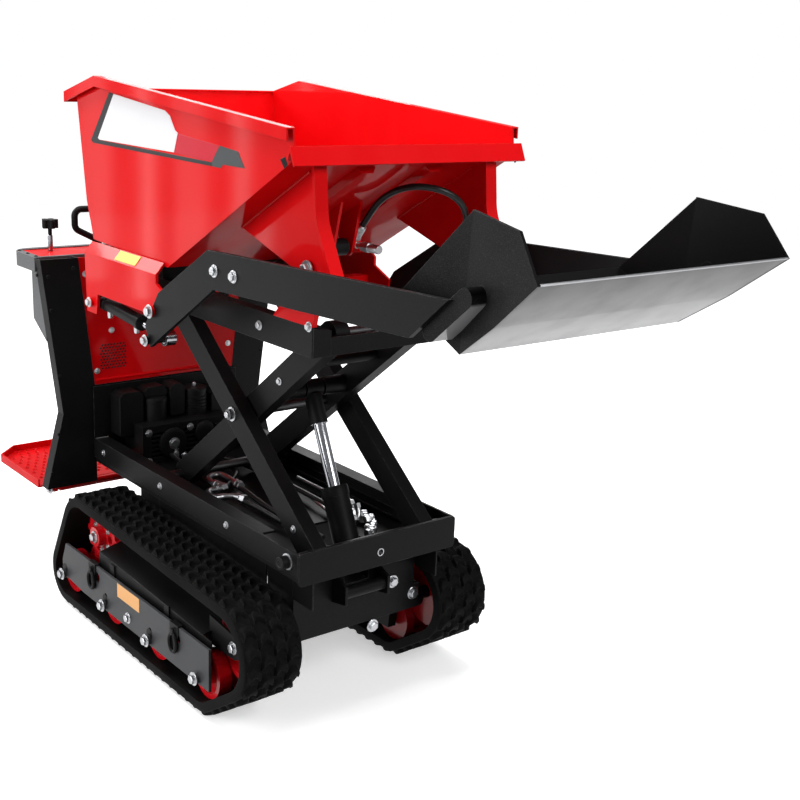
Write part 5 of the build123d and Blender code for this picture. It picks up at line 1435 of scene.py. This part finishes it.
@dataclass
class Studio:
    """Camera, floor, sky and lights.

    Attributes:
        eye: the camera's place.
        yaw: its turn from +Y, in radians.
        pitch: how far it looks down.
        roll: its turn about the line of sight.
        lens: focal length in millimetres on a 36 mm sensor.
    """

    eye: tuple[float, float, float] = (2.6710, -1.8282, 1.6499)
    yaw: float = 0.8867
    pitch: float = 0.2674
    roll: float = 0.0412
    lens: float = 55.99
    lamps: tuple[Lamp, ...] = (
        Lamp("top_softbox", (-0.2, -0.3, 4.2), (0.0, 0.0, 0.8), 2.6, 150.0),
        Lamp("near_softbox", (-0.4, -4.2, 2.2), (0.0, 0.0, 0.9), 2.6, 128.0),
        Lamp("front_softbox", (4.4, 0.8, 3.4), (0.2, 0.0, 0.9), 2.0, 140.0),
        Lamp("rear_strip", (-3.6, 2.2, 2.6), (0.0, 0.0, 0.9), 1.8, 50.0),
        Lamp("side_softbox", (-4.2, -1.5, 3.5), (-0.3, -0.35, 1.1), 1.4, 100.0),
        Lamp("strip_1", (-3.8, -2.8, 0.8), (-0.2, -0.3, 1.3), 0.09, 2.9, 1.6),
        Lamp("strip_2", (-4.4, -2.8, 0.8), (-0.2, -0.3, 1.3), 0.2, 2.9, 1.6),
        Lamp("strip_3", (-5.0, -2.8, 0.8), (-0.2, -0.3, 1.3), 0.08, 2.7, 1.6),
        Lamp("strip_4", (-5.8, -2.8, 0.8), (-0.2, -0.3, 1.3), 0.22, 3.2, 1.6),
    )

    def camera(self) -> None:
        """Sets the camera: its axes come from yaw, pitch and roll."""
        data = bpy.data.cameras.new("camera")
        data.lens, data.sensor_width = self.lens, 36.0
        camera = bpy.data.objects.new("camera", data)
        bpy.context.scene.collection.objects.link(camera)
        a, e, r = self.yaw, self.pitch, self.roll
        ahead = np.array((-math.sin(a) * math.cos(e), math.cos(a) * math.cos(e), -math.sin(e)))
        right = np.array((math.cos(a), math.sin(a), 0.0))
        up = np.cross(right, ahead)
        matrix = np.eye(4)
        matrix[:3, 0] = math.cos(r) * right + math.sin(r) * up
        matrix[:3, 1] = -math.sin(r) * right + math.cos(r) * up
        matrix[:3, 2], matrix[:3, 3] = -ahead, self.eye
        camera.matrix_world = matrix.T.tolist()
        bpy.context.scene.camera = camera

    def floor(self) -> None:
        """Lays a wide pale floor that keeps the machine's shadow and is near white to the camera."""
        mesh = bpy.data.meshes.new("floor")
        mesh.from_pydata([(-9, -9, -0.0005), (9, -9, -0.0005), (9, 9, -0.0005), (-9, 9, -0.0005)],
                         [], [(0, 1, 2, 3)])
        floor = bpy.data.objects.new("floor", mesh)
        bpy.context.scene.collection.objects.link(floor)
        made = bpy.data.materials.new("pale_floor")
        made.use_nodes = True
        book = NodeBook(made.node_tree)
        shader = made.node_tree.nodes["Principled BSDF"]
        place, path = book.add("TexCoord"), book.add("LightPath")
        cloud = book.noise(place.outputs["Object"], 3.0, 3.0)
        white = book.blend(cloud, (0.86, 0.86, 0.86), (0.88, 0.88, 0.88))
        book.join(book.blend(path.outputs["Is Camera Ray"], (0.3, 0.3, 0.3), white),
                  shader.inputs["Base Color"])
        shader.inputs["Roughness"].default_value = 0.7
        reach = book.add("VectorMath", operation="LENGTH")
        book.join(place.outputs["Object"], reach.inputs[0])
        glow = book.spread(reach.outputs["Value"], 1.2, 3.2, 0.5, 1.0)
        shown = book.math("MULTIPLY", path.outputs["Is Camera Ray"], glow)
        mirrored = book.math("MULTIPLY", path.outputs["Is Glossy Ray"], 0.8)
        shader.inputs["Emission Color"].default_value = (1, 1, 1, 1)
        book.join(book.math("MAXIMUM", shown, mirrored), shader.inputs["Emission Strength"])
        mesh.materials.append(made)

    def sky(self) -> None:
        """A white world for the camera, upright bright and dark bands for reflections, and soft as a light."""
        world = bpy.data.worlds.new("studio")
        world.use_nodes = True
        bpy.context.scene.world = world
        book = NodeBook(world.node_tree)
        background = world.node_tree.nodes["Background"]
        background.inputs["Color"].default_value = (1, 1, 1, 1)
        path, place, parts = book.add("LightPath"), book.add("TexCoord"), book.add("SeparateXYZ")
        seen = book.math("MAXIMUM", path.outputs["Is Camera Ray"], path.outputs["Is Transmission Ray"])
        book.join(place.outputs["Generated"], parts.inputs[0])
        heading = book.math("ARCTAN2", parts.outputs["Y"], parts.outputs["X"])
        bands = book.spread(book.math("SINE", book.math("MULTIPLY", heading, 17.0)), -0.7, 0.7, 0.05, 0.6)
        higher = book.spread(parts.outputs["Z"], 0.15, 0.75, 1.0, 0.3)
        glossy = book.math("MULTIPLY", path.outputs["Is Glossy Ray"], book.math("MULTIPLY", bands, higher))
        book.join(book.math("MAXIMUM", book.math("MAXIMUM", seen, glossy), 0.14), background.inputs["Strength"])

    def build(self) -> None:
        """Sets the camera, floor, sky and lights."""
        self.camera()
        self.floor()
        self.sky()
        for lamp in self.lamps:
            lamp.hang()
        bpy.context.scene.view_settings.view_transform = "Standard"


def main() -> None:
    """Loads the frame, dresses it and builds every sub-assembly's fittings."""
    logging.basicConfig(level=logging.INFO, format="%(message)s")
    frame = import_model()
    Studio().build()
    shop = PaintShop()
    Hose(shop).build()
    dress_nodes(frame["nodes"], shop)
    for assembly in (Tracks, Undercarriage, Chassis, Tower, Footboard, ScissorLift, Platform, Skip, Loader,
                     RodEnds):
        assembly(shop).build()
        LOG.info("%s done", assembly.__name__)


if __name__ == "__main__":
    main()
